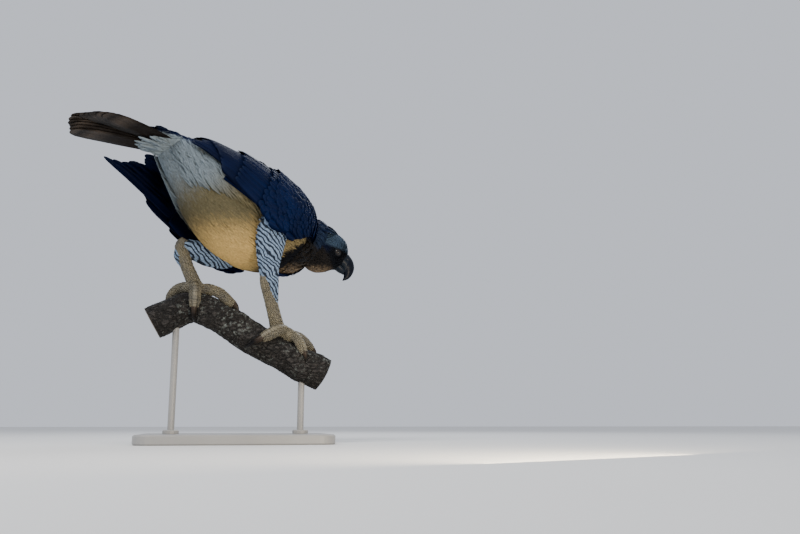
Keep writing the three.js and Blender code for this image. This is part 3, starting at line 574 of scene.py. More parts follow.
def thigh_grid(name, rings=40, sides=56):
    """A feathered thigh, whose long axis of each section lies along the body."""
    rows = np.array(LEGS[name]["thigh"], float)
    sizes = rows[:, [4, 3, 3]]
    return tube_grid(rows[:, :3], sizes, rings, sides, LEGS[name]["across"], COAT_DEPTH["thigh"])


def rump_grid(rings=24, sides=56):
    """The root of the tail, inside the tail coverts."""
    rows = np.array(RUMP_ROWS, float)
    line = [placed(tail_frame, (x, 0, RUMP_LEVEL)) for x in rows[:, 0]]
    return tube_grid(line, rows[:, 1:], rings, sides, -tail_frame[:3, 1], COAT_DEPTH["rump"])


# Wings, back and tail as open sheets

# What the rings and sides of each sheet run through: distance forward and bearing for a wing,
# distance back and to the bird's right for the tail, and distance forward and left for the crown
WING_SPANS = ((208, -352), (-58, 106))
TAIL_SPANS = ((-20, 380), (-110, 110))
CROWN_SPANS = ((10, -130), (-60, 60))
TAIL_DROOP = 14
# Back: distances forward, bearing of its edges on the wings, how far it sinks and where, and its arch
MANTLE = dict(span=(186, -196), bearing=70, sink=48, sinks=(40, -180), arch=36)


def sheet_steps(spans, rings, sides):
    """Even steps through two spans, along and across a sheet."""
    return np.linspace(*spans[0], rings)[:, None], np.linspace(*spans[1], sides)[None, :]


def sheet_place(sheet, spans, x, y):
    """Places on a sheet that steps evenly through two spans."""
    rings, sides = sheet.grid.shape[:2]
    (x_first, x_last), (y_first, y_last) = spans
    u = (x - x_first) / (x_last - x_first) * (rings - 1)
    return u, (y - y_first) / (y_last - y_first) * (sides - 1)


def wing_surface(name, x, bearing, lift=0.0):
    """A point over the flank: out and up from the spine by the section's middle, plus its reach and
    the lift times the cosine and sine of the bearing, less how far the wing hangs there."""
    _, out, up, reach_out, reach_up = np.moveaxis(rows_for(WING_ROWS, x), -1, 0)
    back = np.maximum((WRIST - x) / (WRIST - WING_TIP), 0)
    angle = np.radians(bearing)
    y = out + between(WING_HANG[name]["out"], back) + (reach_out + lift) * np.cos(angle)
    z = up - between(WING_HANG[name]["drop"], back) + (reach_up + lift) * np.sin(angle)
    return placed(body_frame, stacked(x, SIDES[name] * y, z))


def wing_sheet(name, rings=120, sides=84):
    """The wing's surface from front to back and from its lower edge to the middle of the back."""
    grid = wing_surface(name, *sheet_steps(WING_SPANS, rings, sides))
    return Sheet(grid, closed=False, outside=SIDES[name])


def mantle_sheet(rings=70, sides=30):
    """The back between the wings: straight across from one wing's top to the other's, with an arch of
    s(1 - s), and sinking towards the rump."""
    x = np.linspace(*MANTLE["span"], rings)
    sink = -MANTLE["sink"] * smooth_step(*MANTLE["sinks"], x)
    edges = [wing_surface(name, x, MANTLE["bearing"], sink)[:, None] for name in ("right", "left")]
    s = np.linspace(0, 1, sides)[None, :, None]
    arch = MANTLE["arch"] * s * (1 - s) * body_frame[:3, 2]
    return Sheet(between(edges, s) + arch, closed=False, outside=-1)


def tail_sheet(rings=60, sides=30):
    """A plane behind the rump that droops by the square of the distance."""
    x, y = sheet_steps(TAIL_SPANS, rings, sides)
    droop = -TAIL_DROOP * (x / TAIL_LENGTH) ** 2
    return Sheet(placed(tail_frame, stacked(x, y, droop)), closed=False)


# How far forward the nape starts, and how steeply the crest's sheet droops behind it
NAPE = -44
NAPE_DROOP = 0.32


def crown_sheet(rings=48, sides=40):
    """The crown and nape as an open sheet over the head, going on behind it with a droop."""
    x, y = sheet_steps(CROWN_SPANS, rings, sides)
    first, last = HEAD_ROWS[0][0], HEAD_ROWS[-1][0]
    part = np.clip((np.maximum(x, NAPE) - first) / (last - first), 0, 1)
    _, rise, half, top, _ = np.moveaxis(rows_at(HEAD_ROWS, part * (len(HEAD_ROWS) - 1)), -1, 0)
    dome = np.sqrt(np.maximum(1 - (y / (half + 8)) ** 2, 0.1))
    z = rise + top * dome - NAPE_DROOP * np.maximum(NAPE - x, 0)
    return Sheet(placed(head_frame, stacked(x, y, z)), closed=False, outside=-1)


def aimed(sheet, u0, v0, u1, v1):
    """Heading and length of feathers from their roots to their tips on a sheet."""
    along = (u1 - u0) * sheet.read(sheet.along, u0, v0)
    around = (v1 - v0) * sheet.read(sheet.around, u0, v0)
    return np.arctan2(around, along), np.hypot(along, around)


# Colours of the plumage, in linear light
# Slate of the upperparts, darkened and blued as painted shade
SLATE_IN_PAINTED_SHADE = np.array([0.0008, 0.0044, 0.027])
BLACK = np.array([0.0045, 0.005, 0.007])
GREY = np.array([0.040, 0.066, 0.105])
# Dusky painted shade on the throat, and the painted warm light of its lower edge
THROAT_PAINTED_SHADE = np.array([0.014, 0.012, 0.011])
THROAT_PAINTED_LIGHT = np.array([0.17, 0.125, 0.08])
# Painted warm light and painted olive shade, which stand in for the white of the belly and flanks
PAINTED_GOLD_LIGHT = np.array([0.56, 0.385, 0.145])
PAINTED_SHADE = np.array([0.105, 0.091, 0.052])
VENT = np.array([0.20, 0.245, 0.28])
BARRED = np.array([0.23, 0.32, 0.46])
TAIL_DARK = np.array([0.009, 0.007, 0.006])
TAIL_PALE = np.array([0.050, 0.040, 0.034])
# Heights over the floor between which the belly's painted shade turns into painted warm light, and the
# throat's painted shade turns pale
GOLD_LIGHT_HEIGHTS = (540, 452)
THROAT_LIGHT_HEIGHTS = (450, 430)
# Distances back at which the tail's pale bars start, how long one is, and how soft its edges are
TAIL_BARS = (150, 222, 286)
BAR_LENGTH = 34
BAR_EDGE = 8
TAIL_TIP = (330, 342)


def blend(first, second, part):
    """A colour between two others."""
    return between((first, second), part[..., None])


def plain_tint(colour):
    """A marking of one colour."""
    return lambda points, jitter: colour + 0 * points


thigh_tint = plain_tint(BARRED)
shoulder_tint = plain_tint(SLATE_IN_PAINTED_SHADE * 1.25)
scale_tint = plain_tint(np.ones(3))


def torso_tint(points, jitter):
    """Slate in painted shade above, black over the breast and cool at the vent. The white belly is painted
    as olive shade, also on the chest under the wing, and low down as painted warm light.
    """
    x, y, z = to_frame(body_frame, points)
    # Painted warm light from below on the lower belly, by height over the floor
    gold_light = smooth_step(*GOLD_LIGHT_HEIGHTS, points[..., 2] + 6 * jitter)
    # Painted shade on the chest under the wing
    chest = smooth_step(70, 120, x) * smooth_step(-100, -60, z)
    vent = smooth_step(-80, -190, x + 8 * jitter)
    back_edge = 22 - 26 * smooth_step(-120, -215, x)
    back = smooth_step(back_edge, back_edge + 18, z - 0.1 * np.abs(y) + 4 * jitter)
    breast_edge = 128 + 0.5 * np.clip(z + 95, 0, 90)
    breast = smooth_step(breast_edge, breast_edge + 14, x + 4 * jitter)
    tint = blend(PAINTED_SHADE, PAINTED_GOLD_LIGHT, gold_light)
    for colour, part in ((PAINTED_SHADE * 1.3, 0.8 * chest), (VENT, vent), (SLATE_IN_PAINTED_SHADE, back), (BLACK, breast)):
        tint = blend(tint, colour, part)
    return tint


def flank_tint(points, jitter):
    """Pale grey, turning in front into the olive painted shade of the belly."""
    return blend(VENT * 0.85, PAINTED_SHADE * 1.35, smooth_step(-130, -10, to_frame(body_frame, points)[0]))


def throat_tint(points, jitter):
    """Dusky painted shade, with a beige lower edge of painted warm light from below, by height over the
    floor.
    """
    return blend(THROAT_PAINTED_SHADE, THROAT_PAINTED_LIGHT, smooth_step(*THROAT_LIGHT_HEIGHTS, points[..., 2] + 2 * jitter))


def neck_tint(points, jitter):
    """Black at the chest and slate over the nape and the sides, with the throat's dusky painted shade below.
    """
    x, _, z = to_frame(head_frame, points)
    front = blend(BLACK, throat_tint(points, jitter), smooth_step(-92, -70, x + 4 * jitter))
    nape = blend(SLATE_IN_PAINTED_SHADE, GREY, 0.3 * smooth_step(-80, -40, x))
    return blend(front, nape, smooth_step(-30, -12, z + 2 * jitter))


def head_tint(points, jitter):
    """A blue-grey crown, painted shade as a dark patch over the eye, lores and cheek, and a throat of
    dusky painted shade that pales below into painted warm light."""
    x, _, z = to_frame(head_frame, points)
    # Painted shade of the brow: slate darkening to black over the eye, lores and cheek
    face = blend(SLATE_IN_PAINTED_SHADE, BLACK, smooth_step(-30, 5, x))
    cheek = smooth_step(-26, -14, z + 0.45 * x + 1.5 * jitter)
    crown = smooth_step(9, 19, z - 0.38 * (x - 14) + 1.2 * jitter)
    return blend(blend(throat_tint(points, jitter), face, cheek), GREY, crown)


def crest_tint(points, jitter):
    """Slate with a grey front."""
    return blend(SLATE_IN_PAINTED_SHADE, GREY, 0.7 * smooth_step(-50, -5, to_frame(head_frame, points)[0]))


def wing_tint(points, jitter):
    """Slate darkened and blued as painted shade, lighter and bluer at the front."""
    front = smooth_step(-160, 100, to_frame(body_frame, points)[0])
    return blend(SLATE_IN_PAINTED_SHADE * 0.7, SLATE_IN_PAINTED_SHADE * (1.3, 1.4, 1.25), front)


def rump_tint(points, jitter):
    """White below and slate above, as the vent and the back that it joins."""
    return blend(VENT, SLATE_IN_PAINTED_SHADE, smooth_step(-8, 0, to_frame(tail_frame, points)[2] + 2 * jitter))


def tail_tint(points, jitter):
    """Blackish with broad grey bars and a pale tip, by smooth steps of the distance."""
    x, y, _ = to_frame(tail_frame, points)
    wave = x + 3 * np.sin(y / 9) + 2 * jitter
    pale = smooth_step(*TAIL_TIP, x)
    for bar in TAIL_BARS:
        end = bar + BAR_LENGTH
        pale = pale + smooth_step(bar, bar + BAR_EDGE, wave) * smooth_step(end, end - BAR_EDGE, wave)
    return blend(TAIL_DARK, TAIL_PALE, 0.85 * np.clip(pale, 0, 1))


def tail_covert_tint(points, jitter):
    """White below the tail, slate above it with grey bars."""
    x, _, z = to_frame(tail_frame, points)
    slate = blend(SLATE_IN_PAINTED_SHADE, GREY, 0.4 * smooth_step(0.2, 0.7, np.sin(x / 7.0)))
    return blend(VENT, slate, smooth_step(-8, 4, z))


# Coats

def coat(name, sheet, roots, rng, tint_of, length, width, lift, outline, section, heading=0.0,
         spread=0.16, thickness=0.8, camber=0.12, curl=0.0, roll=0.0, shade=(0.86, 1.12),
         hide=(), margin=2.0, keep=None, cell=(0, 0), cells=(1, 1), bars=0.0, vary=0.14):
    """Feathers from many roots on a sheet, without those inside the grids to hide. Lengths, headings
    and shades vary a little from feather to feather."""
    def kept(value):
        """The values of the feathers that stay, or the one value of all."""
        return value[stay] if np.ndim(value) else value

    start = sheet.read(sheet.grid, *roots)
    stay = ~hidden(start, hide, margin)
    if keep is not None:
        stay &= keep(start)
    u, v = roots[0][stay], roots[1][stay]
    count = len(u)
    size = rng.uniform(1 - vary, 1 + vary, count)
    turn = kept(heading) + rng.normal(0, spread, count)
    rise = [kept(one) + rng.uniform(-0.5, 0.5, count) for one in lift]
    points = drape(sheet, u, v, turn, kept(length) * size, kept(width) * (0.5 + 0.5 * size), rise,
                   outline, section, thickness, camber, roll, curl)
    jitter = rng.normal(0, 1, (count, 1, 1))
    tint = tint_of(points, jitter) * rng.uniform(*shade, (count, 1, 1, 1))
    return feather_mesh(name, points, outline, section, bake_place(sheet, u, v, cell, cells), tint, bars)


def body_skin():
    """One skin: the torso, neck, head, thighs and rump, fused by a voxel remesh and smoothed. Each point
    takes the marking of the nearest part, darkened a little as painted shade under the coat."""
    parts = [(torso_grid(), torso_tint, 0), (neck_grid(), neck_tint, 0), (head_grid(), head_tint, 0),
             (thigh_grid("left"), thigh_tint, 1), (thigh_grid("right"), thigh_tint, 1),
             (rump_grid(), rump_tint, 0)]
    grids, tints, bars = zip(*parts)
    made = join("skin", [closed_mesh("skin_part", grid) for grid in grids])
    fused(made, 2.6, smooth=6)
    points = vertices_of(made)
    far = np.stack([nearest(points, grid[::2, ::3].reshape(-1, 3)) for grid in grids])
    part = np.argmin(far, axis=0)
    tint = np.choose(part[:, None], [one(points, 0.0) for one in tints])
    # The skin is darkened as painted shade under the coat
    set_tint(made, tint * 0.8, np.array(bars)[part])
    return made


def vertices_of(made):
    """A mesh's points in millimetres."""
    flat = np.zeros(len(made.data.vertices) * 3)
    made.data.vertices.foreach_get("co", flat)
    return flat.reshape(-1, 3) / MM


def nearest(points, others):
    """The square of each point's distance from the nearest of the others: the smallest |p|^2 + |q|^2 -
    2 p.q."""
    square = np.sum(others ** 2, axis=1)
    chunks = np.array_split(points, max(len(points) // 4000, 1))
    return np.concatenate([np.min(square - 2 * chunk @ others.T, axis=1) + np.sum(chunk ** 2, axis=1)
                           for chunk in chunks])


def fused(made, voxel, smooth):
    """Replaces a mesh by its voxel remesh, smoothed."""
    remesh = made.modifiers.new("Remesh", "REMESH")
    remesh.mode = "VOXEL"
    remesh.voxel_size = voxel * MM
    relax = made.modifiers.new("Relax", "SMOOTH")
    relax.iterations = smooth
    shape = bpy.data.meshes.new_from_object(made.evaluated_get(bpy.context.evaluated_depsgraph_get()))
    made.modifiers.clear()
    old, made.data = made.data, shape
    shape.name = made.name
    bpy.data.meshes.remove(old)
    shape.polygons.foreach_set("use_smooth", np.ones(len(shape.polygons), bool))


# Shader nodes

def put(tree, kind, inputs=(), **settings):
    """Adds a node with its settings; inputs are values or other nodes' sockets, by name or number."""
    made = tree.nodes.new(kind)
    for key, value in settings.items():
        setattr(made, key, value)
    for key, value in dict(inputs).items():
        if isinstance(value, bpy.types.NodeSocket):
            tree.links.new(value, made.inputs[key])
        else:
            made.inputs[key].default_value = value
    return made


def maths(tree, operation, *values):
    """The result of one Math node."""
    return put(tree, "ShaderNodeMath", enumerate(values), operation=operation).outputs[0]


def times(tree, first, second):
    """The product of two values."""
    return maths(tree, "MULTIPLY", first, second)


def mixed(tree, part, first, second, blend_type="MIX"):
    """The result of one colour Mix node."""
    made = put(tree, "ShaderNodeMix", {0: part, 6: first, 7: second}, data_type="RGBA",
               blend_type=blend_type)
    return made.outputs[2]


def ramp(tree, value, low, high, start=0.0, stop=1.0):
    """A value mapped smoothly from one range to another."""
    made = put(tree, "ShaderNodeMapRange", {"Value": value, "From Min": low, "From Max": high,
                                            "To Min": start, "To Max": stop},
               interpolation_type="SMOOTHSTEP")
    return made.outputs[0]


def noise(tree, vector, scale, detail=3.0, roughness=0.5):
    """The value of one Noise Texture node."""
    made = put(tree, "ShaderNodeTexNoise", {"Vector": vector, "Scale": scale, "Detail": detail,
                                            "Roughness": roughness})
    return made.outputs[0]


def object_place(tree, scale=(1, 1, 1)):
    """Object coordinates, stretched."""
    place = put(tree, "ShaderNodeTexCoord").outputs["Object"]
    return put(tree, "ShaderNodeMapping", {"Vector": place, "Scale": scale}).outputs[0]


def split(tree, vector):
    """The x, y and z of a vector."""
    return put(tree, "ShaderNodeSeparateXYZ", {0: vector}).outputs


def uv_place(tree, name):
    """A place on a UV map."""
    return put(tree, "ShaderNodeUVMap", uv_map=name).outputs[0]


def plates(tree, place, scale):
    """The distance to the nearest edge between cells round scattered seeds."""
    return put(tree, "ShaderNodeTexVoronoi", {"Vector": place, "Scale": scale},
               feature="DISTANCE_TO_EDGE").outputs[0]


def new_group(name, inputs, outputs):
    """An empty shader node group with its sockets, its group input and its group output."""
    group = bpy.data.node_groups.new(name, "ShaderNodeTree")
    for label, value in inputs.items():
        socket = group.interface.new_socket(name=label, in_out="INPUT", socket_type="NodeSocketFloat")
        socket.default_value = value
    for label in outputs:
        group.interface.new_socket(name=label, in_out="OUTPUT", socket_type="NodeSocketFloat")
    return group, group.nodes.new("NodeGroupInput").outputs, group.nodes.new("NodeGroupOutput").inputs


def vane_group():
    """Barbs that slant from the shaft to the edge as a wave over the vane, the shaft itself, and the
    paler edge. Barbs is how many lie along one feather."""
    group, given, out = new_group("Feather vane", {"Barbs": 60, "Slant": 0.5}, ["Shade", "Edge", "Height"])
    across, along, _ = split(group, uv_place(group, "vane"))
    side = maths(group, "ABSOLUTE", maths(group, "MULTIPLY_ADD", across, 2.0, -1.0))
    slanted = maths(group, "SUBTRACT", along, times(group, side, given["Slant"]))
    bent = maths(group, "MULTIPLY_ADD", noise(group, object_place(group), 60.0), 0.06, slanted)
    wave = maths(group, "SINE", times(group, bent, times(group, given["Barbs"], 2 * np.pi)))
    shaft = ramp(group, side, 0.1, 0.02)
    shade = maths(group, "MULTIPLY_ADD", wave, 0.08, 0.96)
    group.links.new(maths(group, "SUBTRACT", shade, times(group, shaft, 0.25)), out["Shade"])
    tip, rim = ramp(group, along, 0.9, 1.0), ramp(group, side, 0.72, 1.0)
    group.links.new(maths(group, "MAXIMUM", tip, times(group, rim, 0.6)), out["Edge"])
    height = maths(group, "MULTIPLY_ADD", wave, 0.3, 0.5)
    group.links.new(maths(group, "ADD", height, shaft), out["Height"])
    return group


def scale_group():
    """Rounded scales, with creases along the edges between the cells round scattered seeds."""
    group, given, out = new_group("Scaly skin", {"Scale": 220.0}, ["Crease", "Height"])
    crease = ramp(group, plates(group, object_place(group), given["Scale"]), 0.12, 0.0)
    group.links.new(crease, out["Crease"])
    group.links.new(maths(group, "SUBTRACT", 1.0, crease), out["Height"])
    return group


def blotch_group():
    """Soft patches: noise mapped to a mask."""
    group, given, out = new_group("Blotches", {"Scale": 12.0, "Low": 0.45, "High": 0.6}, ["Mask"])
    coarse = noise(group, object_place(group), given["Scale"], 4.0, 0.6)
    mask = put(group, "ShaderNodeMapRange", {"Value": coarse, "From Min": given["Low"],
                                             "From Max": given["High"]})
    group.links.new(mask.outputs[0], out["Mask"])
    return group


# How far apart the bars of the thighs are, in metres, and how much they slope
BAR_PITCH = 0.0126
BAR_SLOPE = 1.05


def bars_group():
    """Wavy bars down the legs: the sine of the height and the distance forward, bent by noise."""
    group, _, out = new_group("Thigh bars", {}, ["Mask"])
    place = object_place(group)
    forward, _, height = split(group, place)
    slope = maths(group, "MULTIPLY_ADD", forward, BAR_SLOPE, height)
    phase = maths(group, "MULTIPLY_ADD", noise(group, place, 26.0, 2.0), 0.042, slope)
    wave = maths(group, "SINE", times(group, phase, 2 * np.pi / BAR_PITCH))
    group.links.new(ramp(group, wave, -0.1, 0.45), out["Mask"])
    return group


def group_node(tree, name, make, values):
    """A shared group in a material, made on first use."""
    group = bpy.data.node_groups.get(name) or make()
    made = put(tree, "ShaderNodeGroup", node_tree=group)
    for label, value in values.items():
        made.inputs[label].default_value = value
    return made.outputs


def blotches(tree, scale, low, high):
    """A mask of soft patches."""
    return group_node(tree, "Blotches", blotch_group, {"Scale": scale, "Low": low, "High": high})["Mask"]


def shader_of(material):
    """A material's Principled shader."""
    return material.node_tree.nodes["Principled BSDF"]


def new_material(name, **constants):
    """A Principled material with its constant sockets set, and its node tree."""
    material = bpy.data.materials.new(name)
    material.use_nodes = True
    for label, value in constants.items():
        shader_of(material).inputs[label.replace("_", " ")].default_value = value
    return material, material.node_tree


def dressed(material, colour, roughness, height, strength, distance):
    """Feeds a colour, a roughness and, through a Bump node, a height to a material's shader."""
    tree, shader = material.node_tree, shader_of(material)
    bump = put(tree, "ShaderNodeBump", {"Strength": strength, "Distance": distance, "Height": height})
    for value, label in ((colour, "Base Color"), (roughness, "Roughness"), (bump.outputs[0], "Normal")):
        tree.links.new(value, shader.inputs[label])
    return material


def tint_node(tree):
    """The colour attribute that the meshes carry."""
    return put(tree, "ShaderNodeAttribute", attribute_name="tint").outputs


def tint_parts(tree):
    """The attribute's three parts, for meshes that carry masks in it."""
    return put(tree, "ShaderNodeSeparateColor", {0: tint_node(tree)["Color"]}).outputs


def barred_tint(tree):
    """The tint, darkened by the bars where the attribute's alpha asks for them."""
    tint = tint_node(tree)
    bars = group_node(tree, "Thigh bars", bars_group, {})["Mask"]
    part = times(tree, bars, tint["Alpha"])
    return mixed(tree, times(tree, part, 0.93), tint["Color"], (0.007, 0.010, 0.018, 1))


def shaded(tree, colour, shade):
    """A colour times a value."""
    grey = put(tree, "ShaderNodeCombineColor", {0: shade, 1: shade, 2: shade}).outputs[0]
    return mixed(tree, 1.0, colour, grey, "MULTIPLY")


def vane_material(name, barbs, edge, edge_part, roughness, gloss):
    """Firm feathers: the tint darkened between barbs, with a paler edge."""
    material, tree = new_material(name, Specular_IOR_Level=gloss)
    vane = group_node(tree, "Feather vane", vane_group, {"Barbs": barbs, "Slant": 0.35})
    patch = noise(tree, object_place(tree), 22.0)
    shade = times(tree, vane["Shade"], ramp(tree, patch, 0.3, 0.7, 0.82, 1.15))
    colour = shaded(tree, tint_node(tree)["Color"], shade)
    colour = mixed(tree, times(tree, vane["Edge"], edge_part), colour, (*edge, 1))
    rough = ramp(tree, patch, 0.2, 0.8, roughness - 0.08, roughness + 0.1)
    return dressed(material, colour, rough, vane["Height"], 0.35, 0.0004)


def down_material(name):
    """Soft plumage: the tint with paler tips and darker roots."""
    material, tree = new_material(name, Specular_IOR_Level=0.05)
    along = ramp(tree, split(tree, uv_place(tree, "vane"))[1], 0.0, 0.9, 0.74, 1.05)
    streak = noise(tree, object_place(tree), 240.0, 2.0)
    shade = times(tree, along, ramp(tree, streak, 0.2, 0.8, 0.84, 1.12))
    rough = ramp(tree, streak, 0.2, 0.8, 0.72, 0.92)
    return dressed(material, shaded(tree, barred_tint(tree), shade), rough, streak, 0.25, 0.0005)


def skin_material():
    """The skin under the coat: the same tint, mottled as down."""
    material, tree = new_material("skin under the coat", Specular_IOR_Level=0.05)
    patch = noise(tree, object_place(tree), 160.0, 4.0)
    colour = shaded(tree, barred_tint(tree), ramp(tree, patch, 0.25, 0.75, 0.7, 1.1))
    return dressed(material, colour, ramp(tree, patch, 0.2, 0.8, 0.8, 0.95), patch, 0.5, 0.002)


def horn_material(name, dark, pale, roughness):
    """Bill or claw: dark horn with growth lines and a paler base, by the mesh's own tint mask."""
    material, tree = new_material(name, Coat_Weight=0.03, Coat_Roughness=0.2, Specular_IOR_Level=0.1)
    lines = noise(tree, object_place(tree, (1, 1, 3)), 90.0, 4.0)
    patch = noise(tree, object_place(tree), 40.0)
    colour = mixed(tree, tint_parts(tree)[0], (*dark, 1), (*pale, 1))
    colour = mixed(tree, ramp(tree, lines, 0.4, 0.75, 0.0, 0.35), colour, (*(np.array(pale) * 1.2), 1))
    rough = ramp(tree, patch, 0.25, 0.75, roughness - 0.08, roughness + 0.14)
    return dressed(material, colour, rough, lines, 0.2, 0.0006)


def leg_material(name, strength):
    """Bare leg skin: dull yellowish grey, dark in the creases between the scales."""
    material, tree = new_material(name)
    scale = group_node(tree, "Scaly skin", scale_group, {"Scale": 260.0})
    patch = blotches(tree, 34.0, 0.4, 0.7)
    colour = mixed(tree, patch, (0.19, 0.165, 0.105, 1), (0.115, 0.105, 0.08, 1))
    colour = mixed(tree, times(tree, scale["Crease"], 0.7), colour, (0.035, 0.031, 0.025, 1))
    rough = ramp(tree, patch, 0.0, 1.0, 0.48, 0.66)
    return dressed(material, colour, rough, scale["Height"], strength, 0.0008)


def bark_colour(tree, grain, broad, crack, lichen):
    """Grain in two browns, darker fields and cracks, and grey lichen."""
    colour = mixed(tree, ramp(tree, grain, 0.35, 0.65), (0.010, 0.009, 0.009, 1), (0.052, 0.048, 0.046, 1))
    colour = mixed(tree, ramp(tree, broad, 0.42, 0.62, 0.0, 0.7), colour, (0.020, 0.017, 0.015, 1))
    colour = mixed(tree, times(tree, crack, 0.6), colour, (0.004, 0.004, 0.004, 1))
    return mixed(tree, times(tree, lichen, 0.8), colour, (0.15, 0.165, 0.155, 1))


def bark_material():
    """Dark, cracked bark with specks of grey lichen, and paler wood with year rings where the tint's
    mask says it is cut."""
    material, tree = new_material("bark", Specular_IOR_Level=0.2)
    long_way = object_place(tree, (0.45, 1.5, 1.1))
    warp = noise(tree, object_place(tree), 30.0)
    bent = put(tree, "ShaderNodeVectorMath", {0: long_way, 1: times(tree, warp, 0.035)}).outputs[0]
    crack = ramp(tree, plates(tree, bent, 85.0), 0.2, 0.02)
    grain = noise(tree, long_way, 190.0, 6.0, 0.7)
    broad = noise(tree, object_place(tree), 16.0, 4.0, 0.6)
    lichen = times(tree, blotches(tree, 120.0, 0.54, 0.6), blotches(tree, 17.0, 0.44, 0.58))
    is_cut, radius, _ = tint_parts(tree)
    waved = maths(tree, "MULTIPLY_ADD", broad, 0.12, radius)
    rings = ramp(tree, maths(tree, "SINE", times(tree, waved, 70.0)), -0.5, 1.0)
    wood = mixed(tree, rings, (0.21, 0.16, 0.11, 1), (0.13, 0.095, 0.066, 1))
    colour = mixed(tree, is_cut, bark_colour(tree, grain, broad, crack, lichen), wood)
    height = maths(tree, "SUBTRACT", maths(tree, "MULTIPLY_ADD", lichen, 0.4, grain), crack)
    return dressed(material, colour, ramp(tree, grain, 0.2, 0.8, 0.78, 0.95), height, 0.9, 0.003)


def eye_material():
    """Grey-brown iris with rays and a dark rim round a black pupil, under a clear wet coat."""
    material, tree = new_material("eye", Coat_Weight=0.45, Coat_Roughness=0.02, Specular_IOR_Level=0.1)
    place = uv_place(tree, "iris")
    away = split(tree, place)[1]
    stretched = put(tree, "ShaderNodeMapping", {"Vector": place, "Scale": (60, 4, 1)}).outputs[0]
    rays = noise(tree, stretched, 1.0)
    colour = mixed(tree, ramp(tree, rays, 0.3, 0.7), (0.006, 0.004, 0.003, 1), (0.028, 0.018, 0.011, 1))
    colour = mixed(tree, ramp(tree, away, 0.21, 0.26), colour, (0.003, 0.003, 0.003, 1))
    colour = mixed(tree, ramp(tree, away, 0.135, 0.12), colour, (0.002, 0.002, 0.002, 1))
    return dressed(material, colour, ramp(tree, rays, 0.2, 0.8, 0.2, 0.3), rays, 0.1, 0.0002)


def paint_material():
    """Satin grey paint on the stand, faintly pebbled, with dull patches."""
    material, tree = new_material("stand paint", Coat_Weight=0.15, Coat_Roughness=0.3)
    pebble = noise(tree, object_place(tree), 700.0, 2.0)
    dull = blotches(tree, 6.0, 0.35, 0.7)
    colour = mixed(tree, dull, (0.30, 0.295, 0.285, 1), (0.27, 0.266, 0.258, 1))
    return dressed(material, colour, ramp(tree, dull, 0.0, 1.0, 0.42, 0.56), pebble, 0.12, 0.0003)


def floor_material(colour):
    """A matt floor in two near shades of one colour."""
    material, tree = new_material("pale floor", Roughness=0.9)
    shade = noise(tree, object_place(tree), 1.5, 2.0)
    mottled = mixed(tree, shade, (*colour, 1), (*(np.array(colour) * 0.96), 1))
    tree.links.new(mottled, shader_of(material).inputs["Base Color"])
    return material


# Bill, eyes and lids

NOSTRIL = dict(at=(49, 13, 10), spread=(4.2, 6, 2.4), depth=4.0)
# Where the cere ends in a low step, and where its paler colour ends, along the head
CERE_EDGE = (58, 55)
CERE_COLOUR = (59, 54)
CERE_STEP = 1.1
# Half angles of the lids' opening along the head and up and down
LID_OPEN = (46, 33)


def on_cere(span, x, z):
    """1 on the cere at the root of the bill and 0 past its slanted edge."""
    return smooth_step(*span, x + 0.25 * z)


def bill_grid(line, sizes, rings=72, sides=64):
    """A bill half along its line in the head's frame, with the cere as a low step at its root and a
    pit at each nostril: depth times a bell curve of the distance from it."""
    grid = tube_grid(placed(head_frame, line), sizes, rings, sides, head_frame[:3, 1])
    x, y, z = to_frame(head_frame, grid)
    away = (stacked(x, np.abs(y), z) - NOSTRIL["at"]) / NOSTRIL["spread"]
    pit = NOSTRIL["depth"] * np.exp(-np.sum(away ** 2, axis=-1))
    rise = CERE_STEP * on_cere(CERE_EDGE, x, z) - pit
    return grid + grid_normals(grid) * rise[..., None]


def around_axis(radius, away, turn):
    """Points at a radius, an angle away from the x axis and a turn round it."""
    off = radius * np.sin(away)
    return stacked(radius * np.cos(away), off * np.cos(turn), off * np.sin(turn))


def eyeball(name, count=48):
    """An eye: a sphere that looks out and a little forward, with the cornea's swelling of a bell curve
    round its axis, and a map of the angle round and away from it."""
    side = SIDES[name]
    x, y, z = EYE["at"]
    axis = unit(head_frame[:3, :3] @ (np.array([1, side, 1]) * EYE["aim"]))
    centre = placed(head_frame, (x, side * (y - 2.5), z))
    matrix = frame_matrix(centre, axis, np.cross(axis, head_frame[:3, 0]))
    away = np.linspace(0.02, np.pi - 0.02, count)[:, None]
    turn = np.linspace(0, 2 * np.pi, count, endpoint=False)[None, :]
    radius = EYE["globe"] + 1.1 * np.exp(-(away / 0.5) ** 2)
    made = closed_mesh(f"eye_globe_{name}", placed(matrix, around_axis(radius, away, turn)))
    place = np.stack(np.broadcast_arrays(turn / (2 * np.pi), away / np.pi), axis=-1).reshape(-1, 2)
    set_uv(made, "iris", np.concatenate([place, [[0, 0], [0, 1]]]))
    return made, matrix


def lid_mesh(name, matrix):
    """Lids round an eye: a ring whose section runs out over the globe and back under it, open wider
    along the head than up and down, and heavier above."""
    turn = np.linspace(0, 2 * np.pi, 72, endpoint=False)[:, None]
    s = np.linspace(0, 1, 12)[None, :]
    inner = np.radians(between(LID_OPEN[::-1], np.cos(turn) ** 2))
    outer = 2.0 + 0.4 * np.sin(turn)
    away = np.concatenate([between((outer, inner), s), between((inner, outer), s)], axis=1)
    over = 1.7 - s ** 3 + 0.5 * np.sin(s * 14) * (1 - s)
    under = 0.35 - 1.6 * s
    grid = around_axis(EYE["globe"] + np.concatenate([over, under], axis=1), away, turn)
    rings, sides = grid.shape[:2]
    i, j = np.meshgrid(np.arange(rings), np.arange(sides), indexing="ij")
    here, there = i * sides, (i + 1) % rings * sides
    beside = (j + 1) % sides
    quads = np.stack([here + j, here + beside, there + beside, there + j], axis=-1).reshape(-1, 4)
    made = new_mesh(f"lid_{name}", placed(matrix, grid), quads)
    outward_faces(made)
    return made


# Perch and feet

